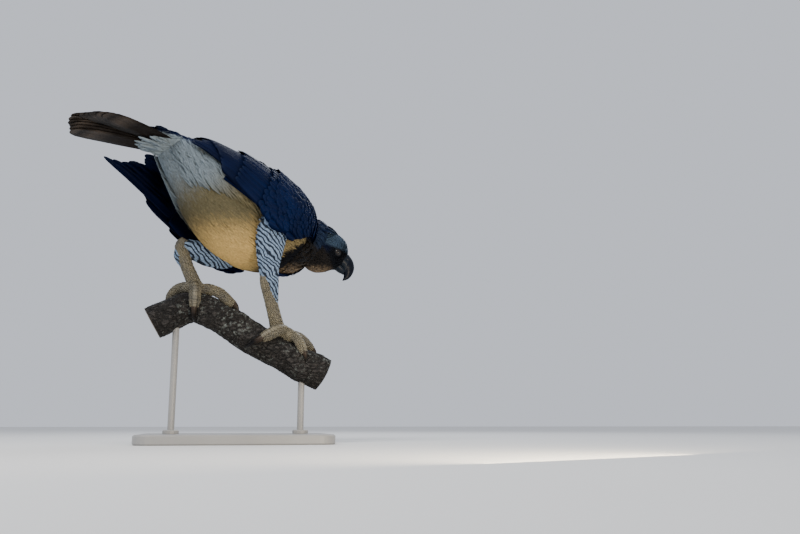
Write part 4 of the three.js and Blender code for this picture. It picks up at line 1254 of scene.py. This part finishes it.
# Parts of the way along a toe where its joints lie, thickness there and along a claw as parts of the
# toe's radius, and thickness across, up and down
JOINTS = (0.12, 0.3, 0.5, 0.7, 0.88, 1)
TOE_SIZES = [1.12, 1.06, 1, 1.02, 0.94, 0.74]
CLAW_SIZES = [0.74, 0.7, 0.62, 0.5, 0.34, 0.16, 0.05]
TOE_SECTION = (1, 1, 0.9)
CLAW_SECTION = (0.86, 1, 1)


def branch_rows(count=400, reach=26):
    """The branch's middle line and radius at many places, each the mean of its neighbours."""
    rows = rows_at(BRANCH_LINE, np.linspace(0, len(BRANCH_LINE) - 1, count))
    ahead = rows[-1] - rows[-2]
    before = rows[0] - rows[1]
    steps = np.arange(1, reach + 1)[:, None]
    longer = np.concatenate([rows[0] + before * steps[::-1], rows, rows[-1] + ahead * steps])
    weight = np.hanning(2 * reach + 3)[1:-1]
    weight /= weight.sum()
    return np.stack([np.convolve(column, weight, "valid") for column in longer.T], axis=1)


BRANCH_ROWS = branch_rows()


def branch_row(place):
    """The branch's middle and radius at places from 0 to 1."""
    return rows_at(BRANCH_ROWS, np.asarray(place, float) * (len(BRANCH_ROWS) - 1))


def branch_middle(place):
    """The middle line of the branch."""
    return branch_row(place)[..., :3]


def branch_point(place, bearing, lift):
    """A point off the branch: its middle, plus its radius and the lift towards the viewer's side by the
    cosine of the bearing and upwards by its sine."""
    place = np.asarray(place, float)
    row = branch_row(place)
    tangent = unit(branch_middle(place + 0.006) - branch_middle(place - 0.006))
    near = unit(np.array([0, -1.0, 0]) + tangent * tangent[..., 1:2])
    up = -unit(np.cross(near, tangent))
    up = up * np.sign(up[..., 2:])
    angle = np.radians(bearing)[..., None]
    return row[..., :3] + (near * np.cos(angle) + up * np.sin(angle)) * (row[..., 3] + lift)[..., None]


def lattice(u, v, cells_u, cells_v, rng):
    """Random values at the corners of a lattice that closes round v, blended by 3t^2 - 2t^3."""
    values = rng.uniform(-1, 1, (cells_u + 2, cells_v))
    x, y = u * cells_u, v * cells_v
    i, j = np.floor(x).astype(int), np.floor(y).astype(int)
    p, q = smooth_step(0, 1, x - i), smooth_step(0, 1, y - j)
    j, k = j % cells_v, (j + 1) % cells_v
    low = values[i, j] * (1 - q) + values[i, k] * q
    return low * (1 - p) + (values[i + 1, j] * (1 - q) + values[i + 1, k] * q) * p


# Rings of a sawn end, as parts of its radius
CUT_STEPS = (0.3, 0.65, 0.94)


def perch_mesh(rng, rings=420, sides=200):
    """The branch: knots as bell curves, two waves round it, ridges of bark as the ramped size of
    stretched lattices, and sawn ends drawn in by a small edge. The tint holds where it is sawn and
    the part of the radius there."""
    place, turn = np.broadcast_arrays(np.linspace(0, 1, rings)[:, None],
                                      np.linspace(0, 1, sides, endpoint=False)[None, :])
    bearing, angle = 360 * turn, 2 * np.pi * turn
    lift = 1.4 * np.sin(3 * angle + 9 * place) + 1.1 * np.sin(5 * angle - 17 * place)
    for at, bearing_at, along, around, height in KNOTS:
        off = (bearing - bearing_at + 180) % 360 - 180
        lift = lift + height * np.exp(-((place - at) / along) ** 2 - (off / around) ** 2)
    coarse = lattice(place, turn, 26, 22, rng)
    ridges = np.abs(lattice(place, turn + 0.02 * coarse, 60, 34, rng))
    fine = lattice(place, turn, 170, 90, rng)
    crack = smooth_step(0.16, 0.0, ridges) + 0.7 * smooth_step(0.1, 0.0, np.abs(coarse))
    lift = lift - 1.2 + 1.1 * coarse + 0.9 * ridges - 1.5 * crack + 0.5 * fine
    grid = branch_point(place, bearing, lift)
    steps = np.array(CUT_STEPS)[:, None, None]
    start, end = [between((ring.mean(axis=0), ring), steps) for ring in (grid[0], grid[-1])]
    made = closed_mesh("perch_bark", np.concatenate([start, grid, end[::-1]]))
    cut = np.zeros((rings + 2 * len(steps), sides, 3))
    sawn = np.concatenate([np.ones_like(steps), steps], axis=-1)
    cut[:len(steps), :, :2] = sawn
    cut[-len(steps):, :, :2] = sawn[::-1]
    set_tint(made, np.concatenate([cut.reshape(-1, 3), [(1, 0, 0), (1, 0, 0)]]))
    return made


def toe_point(name, toe, part):
    """The middle of a toe over the bark, which arches by the square of the sine of its part."""
    along, turn, radius, _ = TOES[name][toe]
    leg = LEGS[name]
    arch = radius * (0.72 + 0.55 * np.sin(np.pi * part) ** 2)
    return branch_point(leg["place"] + along * part, leg["bearing"] + turn * part ** 1.1, arch)


def toe_grid(name, toe, rings=72, sides=28):
    """A toe along its points, with a pad under each joint as a swelling of the drop."""
    along, _, radius, _ = TOES[name][toe]
    points = toe_point(name, toe, np.array(JOINTS))
    sizes = np.outer(TOE_SIZES, TOE_SECTION) * radius
    out = unit(points.mean(axis=0) - branch_middle(LEGS[name]["place"] + along * 0.5))
    across = unit(np.cross(out, points[-1] - points[0]))
    t = np.linspace(0, 1, rings)[:, None]
    _, sin = ellipse_ring(sides)
    swell = 1 + 0.10 * np.maximum(-sin, 0) * np.sin(t * np.pi * len(JOINTS)) ** 2
    return tube_grid(points, sizes, rings, sides, across, swell=swell)


def claw_grid(name, toe, rings=30, sides=22):
    """A claw that goes on from the toe and bends from 12 degrees up to 39 down, thinner across."""
    along, _, radius, length = TOES[name][toe]
    end = toe_point(name, toe, np.array(1.0))
    ahead = unit(end - toe_point(name, toe, np.array(0.8)))
    out = unit(end - branch_middle(LEGS[name]["place"] + along))
    out = unit(out - ahead * np.dot(out, ahead))
    part = np.linspace(0, 1, len(CLAW_SIZES))[:, None]
    bend = np.radians(between((-12, 39), part))
    reach = length * part * 0.86 - 10
    points = end + ahead * reach * np.cos(bend) - out * reach * np.sin(bend) * 0.9 + out * radius * 0.15
    sizes = np.outer(CLAW_SIZES, CLAW_SECTION) * radius
    return tube_grid(points, sizes, rings, sides, unit(np.cross(out, ahead)))


def shank_grid(name, rings=80, sides=40):
    """The bare shank down to the foot."""
    return tube_grid(LEGS[name]["shank"], SHANK_SIZES, rings, sides, (-1, 0, 0))


def foot_grid(name, rings=24, sides=32):
    """The foot's pad, an ellipsoid on the bark."""
    place, bearing = LEGS[name]["place"], LEGS[name]["bearing"]
    ahead = branch_middle(place + 0.02) - branch_middle(place - 0.02)
    up = branch_point(place, bearing, 10) - branch_point(place, bearing, 0)
    matrix = frame_matrix(branch_point(place, bearing, FOOT_LIFT), ahead, up)
    t = np.linspace(-0.99, 0.99, rings)[:, None]
    cos, sin = ellipse_ring(sides)
    flat = np.sqrt(1 - t ** 2)
    return placed(matrix, stacked(t, flat * cos, flat * sin) * FOOT_RADII)


# Cells of the bake map that the leg's parts share
SCALE_CELLS = (3, 2)


def scaled(grid, rng, gap, size, count, width, at, hide, cell):
    """Leg scales on a grid: small round scales in rows, and a row of broad scutes down it, a part of
    the way round."""
    sheet = Sheet(grid)
    rings, sides = grid.shape[:2]
    shared = dict(hide=hide, margin=0.5, cell=cell, cells=SCALE_CELLS)
    u, v = plant(sheet, gap, gap * 1.15, rng, 0.12)
    off = np.abs((v / sides - at + 0.5) % 1 - 0.5) * sides * sheet.read(sheet.around, u, v)
    small = off > width * 0.48
    scales = coat("scales", sheet, (u[small], v[small]), rng, scale_tint, size, size * 1.15, (-0.1, 0.5),
                  SCALE_OUTLINE, SLIM_SECTION, spread=0.1, camber=0.3, **shared)
    u = (np.arange(count) + 0.2) * (rings - 1) / count
    v = np.full(count, at * sides)
    length = sheet.read(sheet.along, u, v) * (rings - 1) / count * 1.25
    scutes = coat("scutes", sheet, (u, v), rng, scale_tint, length, width, (0.1, 1.5), SCALE_OUTLINE,
                  BROAD_SECTION, spread=0.03, thickness=1.0, camber=0.05, **shared)
    return [scales, scutes]


# Settings, one operator for each group of pieces, and the panel

class EagleCoat(bpy.types.PropertyGroup):
    """Sizes of the coat."""
    body_length: FloatProperty(name="Body feather", description="Length of a feather on the back",
                               default=0.044, unit="LENGTH")
    down_length: FloatProperty(name="Down", description="Length of a downy tip on the belly",
                               default=0.034, unit="LENGTH")
    face_length: FloatProperty(name="Face feather", description="Length of a feather on the crown",
                               default=0.014, unit="LENGTH")
    density: FloatProperty(name="Density", description="How close the feathers stand", default=1.0,
                           subtype="FACTOR")
    seed: IntProperty(name="Seed", description="Seed of the small differences", default=7)


class EagleStage(bpy.types.PropertyGroup):
    """Light and floor."""
    key_power: FloatProperty(name="Key light", description="Strength of the main light", default=55.0,
                             unit="POWER")
    low_power: FloatProperty(name="Low light", description="Strength of the warm light from below",
                             default=9.0, unit="POWER")
    floor: FloatVectorProperty(name="Floor", description="Colour of the floor", default=(0.74, 0.74, 0.73),
                               subtype="COLOR")


def settings():
    """The coat's settings in the scene."""
    return bpy.context.scene.eagle_coat


def random_for(group):
    """The random numbers of one group of pieces."""
    return np.random.default_rng(settings().seed + group)


class EAGLE_OT_skin(bpy.types.Operator):
    """The skin under the coat"""
    bl_idname = "eagle.skin"
    bl_label = "Skin"

    def execute(self, context):
        made = body_skin()
        finish(made, skin_material(), "plumage_white", "torso", "neck", "head", "thigh_left", "thigh_right")
        return {"FINISHED"}


class EAGLE_OT_body(bpy.types.Operator):
    """Feathers of the back, breast, belly, vent and thighs"""
    bl_idname = "eagle.body"
    bl_label = "Body plumage"

    # Height over the spine at which the back's feathers give way to down
    BACK_LEVEL = 16

    def execute(self, context):
        rng = random_for(0)
        torso, thighs = torso_grid(), {name: thigh_grid(name) for name in LEGS}
        others = [neck_grid(), rump_grid(), *thighs.values()]
        sheet, soft = Sheet(torso), down_material("belly down")
        self.back(sheet, others, rng)
        down = settings().down_length / MM
        for name, start, stop, length in (("vent_down", 0.0, 0.3, 40), ("belly_down", 0.3, 0.62, down),
                                          ("breast_down", 0.62, 1.0, down)):
            self.down(name, sheet, (2.9, 3.0), rng, torso_tint, length, 4.2, (-1, 7), soft, start, stop,
                      heading=np.pi, thickness=0.7, curl=-3, shade=(0.91, 1.08), hide=others,
                      keep=lambda roots: ~self.on_back(roots))
        self.down("flank_down", sheet, (4, 3.4), rng, flank_tint, 40, 3.8, (0, 18), soft,
                  heading=self.flank_heading, spread=0.2, thickness=0.7, curl=-6, hide=others,
                  keep=self.on_flank)
        for name, grid in thighs.items():
            self.down(f"thigh_down_{name}", Sheet(grid), (2.6, 2.9), rng, thigh_tint, 22, 3.8, (-1, 6),
                      soft, spread=0.14, curl=-3, hide=[torso], bars=1.0)
        return {"FINISHED"}

    def on_back(self, roots):
        """True for roots on the back."""
        return to_frame(body_frame, roots)[2] > self.BACK_LEVEL

    def on_flank(self, roots):
        """True for roots in the band along the flank that the wing's lower edge meets."""
        x, y, z = to_frame(body_frame, roots)
        return (x < 120) & (x > -200) & (z > -62 + 0.06 * x) & (z < -8) & (np.abs(y) > 30)

    def flank_heading(self, roots):
        """Back along the body, and a little downwards on each side."""
        return np.pi - 0.25 * np.sign(to_frame(body_frame, roots)[1])

    def back(self, sheet, others, rng):
        """Feathers of the back, and the mantle over them between the wings."""
        space, length = settings().density, settings().body_length / MM
        roots = plant(sheet, 11 / space, 12 / space, rng)
        upper = coat("back", sheet, roots, rng, torso_tint, length, 26, (-1, 8), BODY_OUTLINE, SLIM_SECTION,
                     heading=np.pi, hide=others, keep=self.on_back)
        mantle = mantle_sheet()
        roots = plant(mantle, 12 / space, 12 / space, rng, stop=0.82)
        cape = coat("mantle", mantle, roots, rng, wing_tint, 58, 34, (-4, 4), COVERT_OUTLINE, SLIM_SECTION,
                    spread=0.1)
        firm = vane_material("back feathers", 26.0, (0.005, 0.013, 0.038), 0.3, 0.6, 0.05)
        finish(join("back_feathers", [upper, cape]), firm, "plumage_slate")

    def down(self, name, sheet, gaps, rng, tint_of, length, width, lift, material, start=0.0, stop=1.0,
             heading=0.0, **looks):
        """One piece of downy tips, with rows and roots as far apart as the gaps."""
        along, around = np.array(gaps) / settings().density
        roots = plant(sheet, along, around, rng, 0.5, start, stop)
        if callable(heading):
            heading = heading(sheet.read(sheet.grid, *roots))
        made = coat(name, sheet, roots, rng, tint_of, length, width, lift, WISP_OUTLINE, WISP_SECTION,
                    heading=heading, **looks)
        finish(made, material, "plumage_white")


class EAGLE_OT_head(bpy.types.Operator):
    """Feathers of the neck, crown and face, and the crest"""
    bl_idname = "eagle.head"
    bl_label = "Head plumage"

    # Rows of each half of the crest: count, and from the first feather to the last the distance
    # forward, distance out, length and fan; then lifts of the roots and of the lowest tips
    CREST = (
        (8, (-2, -32), (6, 29), (88, 58), (2, 30), (0, 12)),
        (9, (8, -16), (4, 30), (48, 40), (2, 26), (-3, 6)),
    )

    def execute(self, context):
        rng = random_for(1)
        neck, head = neck_grid(), head_grid()
        firm = vane_material("head feathers", 44.0, (0.05, 0.075, 0.115), 0.2, 0.65, 0.06)
        for made in self.neck(neck, [torso_grid(), head], rng):
            finish(made, firm, "plumage_slate")
        finish(self.face(head, [neck], rng), firm, "plumage_grey")
        for name in SIDES:
            finish(self.crest(name, rng), firm, "plumage_slate", f"crest_{name}")
        return {"FINISHED"}

    def on_shoulder(self, roots):
        """True for roots on the back and the raised left side of the neck."""
        _, y, z = to_frame(body_frame, roots)
        return (z > 36) | ((y > 20) & (z > -10))

    def neck(self, grid, hide, rng):
        """Feathers of the neck, and longer ones that fill the way to the wings."""
        space, sheet = settings().density, Sheet(grid)
        shared = dict(heading=np.pi, hide=hide)
        roots = plant(sheet, 5.5 / space, 6 / space, rng)
        short = coat("neck_feathers", sheet, roots, rng, neck_tint, 28, 12, (-1, 8), BODY_OUTLINE,
                     SLIM_SECTION, **shared)
        roots = plant(sheet, 7 / space, 9 / space, rng, stop=0.62)
        far = 1 - roots[0] / (len(grid) - 1)
        long = coat("shoulder_feathers", sheet, roots, rng, shoulder_tint, 32 + 20 * far, 18,
                    (1 + 5 * far, 8 + 20 * far), BODY_OUTLINE, SLIM_SECTION, keep=self.on_shoulder,
                    curl=-4, **shared)
        return short, long

    def face(self, grid, hide, rng):
        """Small feathers over the head, shortest round the eye and the bill, clear of the eye."""
        space, sheet = settings().density, Sheet(grid)
        u, v = plant(sheet, 2.5 / space, 2.6 / space, rng)
        x, _, z = to_frame(head_frame, sheet.read(sheet.grid, u, v))
        eye_far = np.hypot(x - EYE["at"][0], z - EYE["at"][2])
        size = 1.15 - 0.6 * smooth_step(0, 30, x)
        size = settings().face_length / MM * size * (0.5 + 0.5 * smooth_step(12, 30, eye_far))
        crown = 2.0 + 4.5 * smooth_step(8, 34, z)
        clear = (eye_far > np.where(x < EYE["at"][0], 9, 11.5)) & (x < 43)
        return coat("head_feathers", sheet, (u[clear], v[clear]), rng, head_tint, size[clear],
                    size[clear] * 0.42, (-0.4, crown[clear]), BODY_OUTLINE, SLIM_SECTION, heading=np.pi,
                    thickness=0.35, hide=hide)

    def crest(self, name, rng):
        """One half of the crest: long feathers fanned over the nape, and shorter ones in front."""
        sheet, side = crown_sheet(), SIDES[name]
        pieces = []
        for count, forward, out, length, fan, (root_lift, tip_lift) in self.CREST:
            part = np.linspace(0, 1, count)
            roots = sheet_place(sheet, CROWN_SPANS, between(forward, part), side * between(out, part))
            pieces.append(coat("crest", sheet, roots, rng, crest_tint, between(length, part), 19,
                               (root_lift, tip_lift + 2.0 * (np.arange(count) % 3)), COVERT_OUTLINE,
                               BROAD_SECTION, heading=side * np.radians(between(fan, part)),
                               spread=0.03, curl=3))
        return join(f"crest_vanes_{name}", pieces)


class EAGLE_OT_wings(bpy.types.Operator):
    """Wings: flight feathers in tiers, rows of coverts and the arm under them"""
    bl_idname = "eagle.wings"
    bl_label = "Wings"

    # Feathers of each tier: count, root and tip distances, root and tip bearings, lift of the roots,
    # lifts of the first and last tips, width and outline
    TIERS = (
        ("primaries", 10, (10, -34), (-312, -262), (-12, 14), (6, 34), -24, (-22, -22), 44, FLIGHT_OUTLINE),
        ("secondaries", 14, (10, -34), (-166, -262), (-20, 60), (-15, 55), -16, (-13, -32), 44,
         FLIGHT_OUTLINE),
        ("greater", 14, (52, 34), (-66, -88), (-24, 61), (-20, 57), -8, (-4, -17), 30, COVERT_OUTLINE),
        ("median", 15, (108, 98), (8, -4), (-27, 66), (-24, 61), -3, (2, -10), 30, COVERT_OUTLINE),
    )
    # Lesser coverts: distances of the first row and past the last, and gaps along and round the wing
    LESSER = dict(span=(205, 66), gap=8.5, turn=4.2)
    # Distances forward between which the wing narrows to its front edge
    FRONT = (206, 130)

    def execute(self, context):
        firm = vane_material("wing coverts", 34.0, (0.005, 0.013, 0.038), 0.3, 0.55, 0.06)
        flight = vane_material("flight feathers", 90.0, (0.005, 0.011, 0.030), 0.3, 0.5, 0.06)
        under = skin_material()
        for index, name in enumerate(SIDES):
            rng = random_for(10 + index)
            sheet = wing_sheet(name)
            vanes = [self.tier(sheet, name, rng, *row) for row in self.TIERS]
            lesser = self.lesser(sheet, rng)
            finish(join(f"flight_feathers_{name}", vanes[:2]), flight, "plumage_slate", f"wing_{name}")
            finish(join(f"wing_coverts_{name}", [*vanes[2:], lesser]), firm, "plumage_slate")
            finish(self.arm(name), under, "plumage_slate")
        return {"FINISHED"}

    def tier(self, sheet, name, rng, tier, count, root, tip, low, high, root_lift, tip_lift, width, outline):
        """One tier of feathers, aimed from their roots to their tips."""
        part = np.linspace(0, 1, count)
        roots = sheet_place(sheet, WING_SPANS, between(root, part), between(low, part))
        trim = WING_HANG[name]["trim"].get(tier, 0)
        tips = sheet_place(sheet, WING_SPANS, between(tip, part) + trim, between(high, part))
        heading, length = aimed(sheet, *roots, *tips)
        return coat(tier, sheet, roots, rng, wing_tint, length, width,
                    (root_lift, between(tip_lift, part ** 2)), outline, BROAD_SECTION, heading=heading,
                    spread=0.012, thickness=1.0, camber=0.1, roll=-0.09, vary=0.03)

    def lesser(self, sheet, rng):
        """Lesser coverts from the wrist back, in rows that widen with the wing."""
        gap, turn = self.LESSER["gap"], self.LESSER["turn"]
        x, bearing = [], []
        for k, at in enumerate(np.arange(*self.LESSER["span"], -gap)):
            part = smooth_step(*self.FRONT, at)
            row = np.arange(8 - 36 * part, 46 + 48 * part, turn) + turn / 2 * (k % 2)
            x.append(np.full(len(row), at))
            bearing.append(row)
        x = np.concatenate(x)
        x = x + rng.uniform(-2, 2, len(x))
        roots = sheet_place(sheet, WING_SPANS, x, np.concatenate(bearing))
        size = 24 + 14 * smooth_step(180, 80, x)
        return coat("lesser", sheet, roots, rng, wing_tint, size * 1.25, size * 0.7, (-3, 4), COVERT_OUTLINE,
                    SLIM_SECTION, spread=0.08, roll=-0.05)

    def arm(self, name):
        """The arm: a slab between two lifts of the wing's surface, thinner towards its edges."""
        x = np.linspace(203, -80, 66)[:, None]
        s = np.linspace(0, 1, 40)[None, :]
        part = smooth_step(*self.FRONT, x)
        bearing = between((10 - 38 * part, 40 + 44 * part), s)
        top = -5 - 18 * np.clip((30 - x) / 110, 0, 1)
        front = np.sin(np.pi * np.clip((203 - x) / 80 + 0.1, 0, 0.5))
        rear = np.clip((x + 110) / 100, 0.2, 1)
        thick = 3 + 17 * np.sqrt(np.maximum(1 - (2 * s - 1) ** 2, 0)) * front * rear
        outer = wing_surface(name, x, bearing, top)
        inner = wing_surface(name, x, bearing, top - thick)
        made = closed_mesh(f"wing_arm_{name}", np.concatenate([outer, inner[:, ::-1]], axis=1))
        # Slate darkened further as painted shade under the coverts
        set_tint(made, SLATE_IN_PAINTED_SHADE * 0.8)
        return made


class EAGLE_OT_tail(bpy.types.Operator):
    """Tail feathers and the coverts over and under them"""
    bl_idname = "eagle.tail"
    bl_label = "Tail"

    # Tail feathers: count, distance back and half spread of the roots, fan, width, and step in level
    # from one feather to the next one out
    FEATHERS = dict(count=12, root=20, spread=16, fan=5, width=42, step=-1.1)
    # Rows of tail coverts: count, start, spread of the roots, reach in the middle and at the sides,
    # level, width, fan and how much the lengths vary
    COVERTS = (
        (13, 4, 15, (150, 112), 6, 24, 8, 0.06), (15, -2, 18, (106, 80), 11, 22, 9, 0.08),
        (26, 6, 17, (124, 88), -20, 12, 7, 0.2), (30, 0, 19, (100, 74), -22, 11, 8, 0.22),
        (34, -8, 21, (80, 60), -24, 10, 9, 0.24),
    )

    def execute(self, context):
        rng, sheet = random_for(20), tail_sheet()
        firm = vane_material("tail feathers", 110.0, (0.05, 0.042, 0.035), 0.2, 0.55, 0.08)
        finish(self.feathers(sheet, rng), firm, "plumage_slate", "tail")
        finish(self.coverts(sheet, rng), down_material("tail coverts"), "plumage_white")
        return {"FINISHED"}

    def feathers(self, sheet, rng):
        """The tail feathers, in a fan that is longest in the middle, with one on top of the next."""
        sizes = self.FEATHERS
        half = (sizes["count"] - 1) / 2
        index = np.arange(sizes["count"])
        off = (index - half) / half
        level = sizes["step"] * (2 * np.abs(index - half) - (index < half))
        length = TAIL_LENGTH * (1 - 0.1 * off * off) - sizes["root"]
        roots = sheet_place(sheet, TAIL_SPANS, sizes["root"] + 0 * off, off * sizes["spread"])
        return coat("tail_feathers", sheet, roots, rng, tail_tint, length, sizes["width"], (level, level),
                    FLIGHT_OUTLINE, BROAD_SECTION, heading=np.radians(off * sizes["fan"]), spread=0.004,
                    camber=0.06, shade=(0.9, 1.1), vary=0.012)

    def coverts(self, sheet, rng):
        """Wisps over the root of the tail, and rows of coverts over and under the feathers."""
        rump = Sheet(rump_grid())
        made = [coat("rump_wisps", rump, plant(rump, 4, 3.6, rng, 0.5), rng, rump_tint, 52, 6, (-1, 6),
                     WISP_OUTLINE, WISP_SECTION, spread=0.14, thickness=1.0)]
        for count, start, out, reach, level, width, fan, vary in self.COVERTS:
            off = np.linspace(-1, 1, count)
            roots = sheet_place(sheet, TAIL_SPANS, start + rng.uniform(-8, 8, count), off * out)
            lift = level * (1 - 0.3 * off ** 2)
            made.append(coat("tail_covert", sheet, roots, rng, tail_covert_tint, between(reach, np.abs(off)),
                             width, (lift, lift * 0.8), BODY_OUTLINE, SLIM_SECTION,
                             heading=np.radians(off * fan), spread=0.06, vary=vary))
        return join("tail_coverts", made)


class EAGLE_OT_bill(bpy.types.Operator):
    """Upper and lower bill with the cere and nostrils"""
    bl_idname = "eagle.bill"
    bl_label = "Bill"

    def execute(self, context):
        horn = horn_material("bill horn", (0.0025, 0.004, 0.009), (0.008, 0.012, 0.019), 0.34)
        for name, line, sizes in (("upper_bill", BILL_LINE, BILL_SIZES),
                                  ("lower_bill", LOWER_LINE, LOWER_SIZES)):
            made = closed_mesh(f"{name}_horn", bill_grid(line, sizes))
            x, _, z = to_frame(head_frame, vertices_of(made))
            set_tint(made, on_cere(CERE_COLOUR, x, z)[:, None])
            finish(made, horn, "horn", name)
        return {"FINISHED"}


class EAGLE_OT_eyes(bpy.types.Operator):
    """Eyes and lids"""
    bl_idname = "eagle.eyes"
    bl_label = "Eyes"

    def execute(self, context):
        wet = eye_material()
        skin = horn_material("lid skin", (0.003, 0.004, 0.006), (0.010, 0.012, 0.016), 0.6)
        for name in SIDES:
            globe, matrix = eyeball(name)
            finish(globe, wet, "eye", f"eye_{name}")
            lids = lid_mesh(name, matrix)
            set_tint(lids, [0.4])
            finish(lids, skin, "plumage_grey")
        return {"FINISHED"}


class EAGLE_OT_legs(bpy.types.Operator):
    """Bare legs and toes with their scales, and the claws"""
    bl_idname = "eagle.legs"
    bl_label = "Legs"

    def execute(self, context):
        under, plated = leg_material("leg skin", 0.5), leg_material("leg scales", 0.15)
        horn = horn_material("claw horn", (0.004, 0.004, 0.005), (0.040, 0.029, 0.021), 0.3)
        for name in LEGS:
            shank, foot = shank_grid(name), foot_grid(name)
            toes = [toe_grid(name, toe) for toe in TOES[name]]
            skin = join(f"leg_skin_{name}", [closed_mesh("leg_part", grid) for grid in (shank, foot, *toes)])
            fused(skin, 1.6, smooth=4)
            nodes = [f"toe_{toe}_{name}" for toe in TOES[name]]
            finish(skin, under, "leg_skin", f"tarsus_{name}", f"foot_{name}", *nodes)
            scales = join(f"leg_scales_{name}", self.scales(shank, foot, toes))
            finish(scales, plated, "leg_skin")
            claws = join(f"claws_{name}", [self.claw(name, toe) for toe in TOES[name]])
            finish(claws, horn, "horn", *[f"claw_{toe}_{name}" for toe in TOES[name]])
        return {"FINISHED"}

    def scales(self, shank, foot, toes):
        """Scales on the shank, the foot and each toe, each part in its own cell of the bake map."""
        rng = random_for(30)
        made = scaled(shank, rng, 4.2, 5.0, 15, 25, 0.5, [foot, *toes], (0, 0))
        made += scaled(foot, rng, 4.2, 5.2, 4, 22, 0.25, [shank], (1, 0))
        for k, toe in enumerate(toes, start=2):
            made += scaled(toe, rng, 3.8, 4.6, 13, 15, 0.25, [foot, shank], (k % 3, k // 3))
        return made

    def claw(self, name, toe):
        """A claw whose tint is 1 at its root and 0 past it."""
        made = closed_mesh("claw", claw_grid(name, toe))
        away = np.linalg.norm(vertices_of(made) - toe_point(name, toe, np.array(1.0)), axis=1)
        set_tint(made, smooth_step(26, 4, away)[:, None])
        return made


class EAGLE_OT_perch(bpy.types.Operator):
    """The cut branch, and paint on the stand"""
    bl_idname = "eagle.perch"
    bl_label = "Perch and stand"

    def execute(self, context):
        finish(perch_mesh(random_for(40)), bark_material(), "bark", "perch_branch")
        paint = paint_material()
        for name in ("stand_base", "stand_rod_left", "stand_rod_right"):
            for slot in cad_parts[name].material_slots:
                slot.material = paint
        return {"FINISHED"}


class EAGLE_OT_stage(bpy.types.Operator):
    """Floor, soft lights and the camera"""
    bl_idname = "eagle.stage"
    bl_label = "Stage"

    # Half the floor's side in millimetres, and the camera's place in metres and its turn to the right
    # and rise in degrees
    FLOOR_REACH = 9000
    CAMERA_PLACE = (-0.03, -1.97049, 0.04701)
    CAMERA_TURN = 12.251
    CAMERA_RISE = 11.044

    def execute(self, context):
        stage = context.scene.eagle_stage
        corners = [(x, y, 0) for x, y in ((-1, -1), (1, -1), (1, 1), (-1, 1))]
        floor = new_mesh("floor", np.array(corners) * self.FLOOR_REACH, [(0, 1, 2, 3)], smooth=False)
        floor.data.materials.append(floor_material(stage.floor))

        world = context.scene.world or bpy.data.worlds.new("studio")
        context.scene.world = world
        world.use_nodes = True
        sky = world.node_tree.nodes["Background"]
        sky.inputs["Color"].default_value = (0.86, 0.90, 1.0, 1)
        sky.inputs["Strength"].default_value = 0.8

        self.lamp("key", (-0.9, -1.3, 2.2), (0, 0, 0.5), 1.3, stage.key_power, (1.0, 0.98, 0.95))
        self.lamp("back", (0.8, 1.6, 1.9), (0, 0, 0.5), 1.2, stage.key_power * 0.35, (0.92, 0.96, 1.0))
        self.lamp("low", (0.5, -1.0, 0.15), (0, 0, 0.6), 0.45, stage.low_power, (1.0, 0.84, 0.6))
        self.camera()
        return {"FINISHED"}

    def place(self, name, data, location, look):
        """An object in the scene that looks along a direction."""
        made = bpy.data.objects.new(name, data)
        bpy.context.scene.collection.objects.link(made)
        made.location = location
        made.rotation_euler = look.to_track_quat("-Z", "Y").to_euler()
        return made

    def lamp(self, name, location, target, size, power, colour):
        """A square area light that faces a target."""
        light = bpy.data.lights.new(name, "AREA")
        light.size, light.energy, light.color = size, power, colour
        made = self.place(name, light, location, Vector(target) - Vector(location))
        made.visible_camera = False

    def camera(self):
        """A camera a little under the bird that looks up and to the right, as the photo does."""
        view = bpy.data.cameras.new("camera")
        view.lens, view.sensor_width = 36, 36
        turn, rise = np.radians([self.CAMERA_TURN, self.CAMERA_RISE])
        look = Vector((np.sin(turn) * np.cos(rise), np.cos(turn) * np.cos(rise), np.sin(rise)))
        bpy.context.scene.camera = self.place("camera", view, self.CAMERA_PLACE, look)


OPERATORS = (EAGLE_OT_skin, EAGLE_OT_body, EAGLE_OT_head, EAGLE_OT_wings, EAGLE_OT_tail, EAGLE_OT_bill,
             EAGLE_OT_eyes, EAGLE_OT_legs, EAGLE_OT_perch, EAGLE_OT_stage)


class EAGLE_PT_panel(bpy.types.Panel):
    """The sidebar panel of the eagle"""
    bl_idname = "EAGLE_PT_panel"
    bl_label = "Harpy eagle"
    bl_space_type = "VIEW_3D"
    bl_region_type = "UI"
    bl_category = "Eagle"

    def draw(self, context):
        for group in (context.scene.eagle_coat, context.scene.eagle_stage):
            for name in group.__annotations__:
                self.layout.prop(group, name)
        for operator in OPERATORS:
            self.layout.operator(operator.bl_idname)


CLASSES = (EagleCoat, EagleStage, *OPERATORS, EAGLE_PT_panel)


def register():
    """Adds the classes and their settings to Blender."""
    for one in CLASSES:
        bpy.utils.register_class(one)
    bpy.types.Scene.eagle_coat = PointerProperty(type=EagleCoat)
    bpy.types.Scene.eagle_stage = PointerProperty(type=EagleStage)


def unregister():
    """Takes them away again."""
    del bpy.types.Scene.eagle_stage
    del bpy.types.Scene.eagle_coat
    for one in reversed(CLASSES):
        bpy.utils.unregister_class(one)


def main():
    """Builds every piece and the stage."""
    register()
    for operator in OPERATORS:
        group, name = operator.bl_idname.split(".")
        getattr(getattr(bpy.ops, group), name)()
    bpy.context.view_layer.update()


if __name__ == "__main__":
    main()
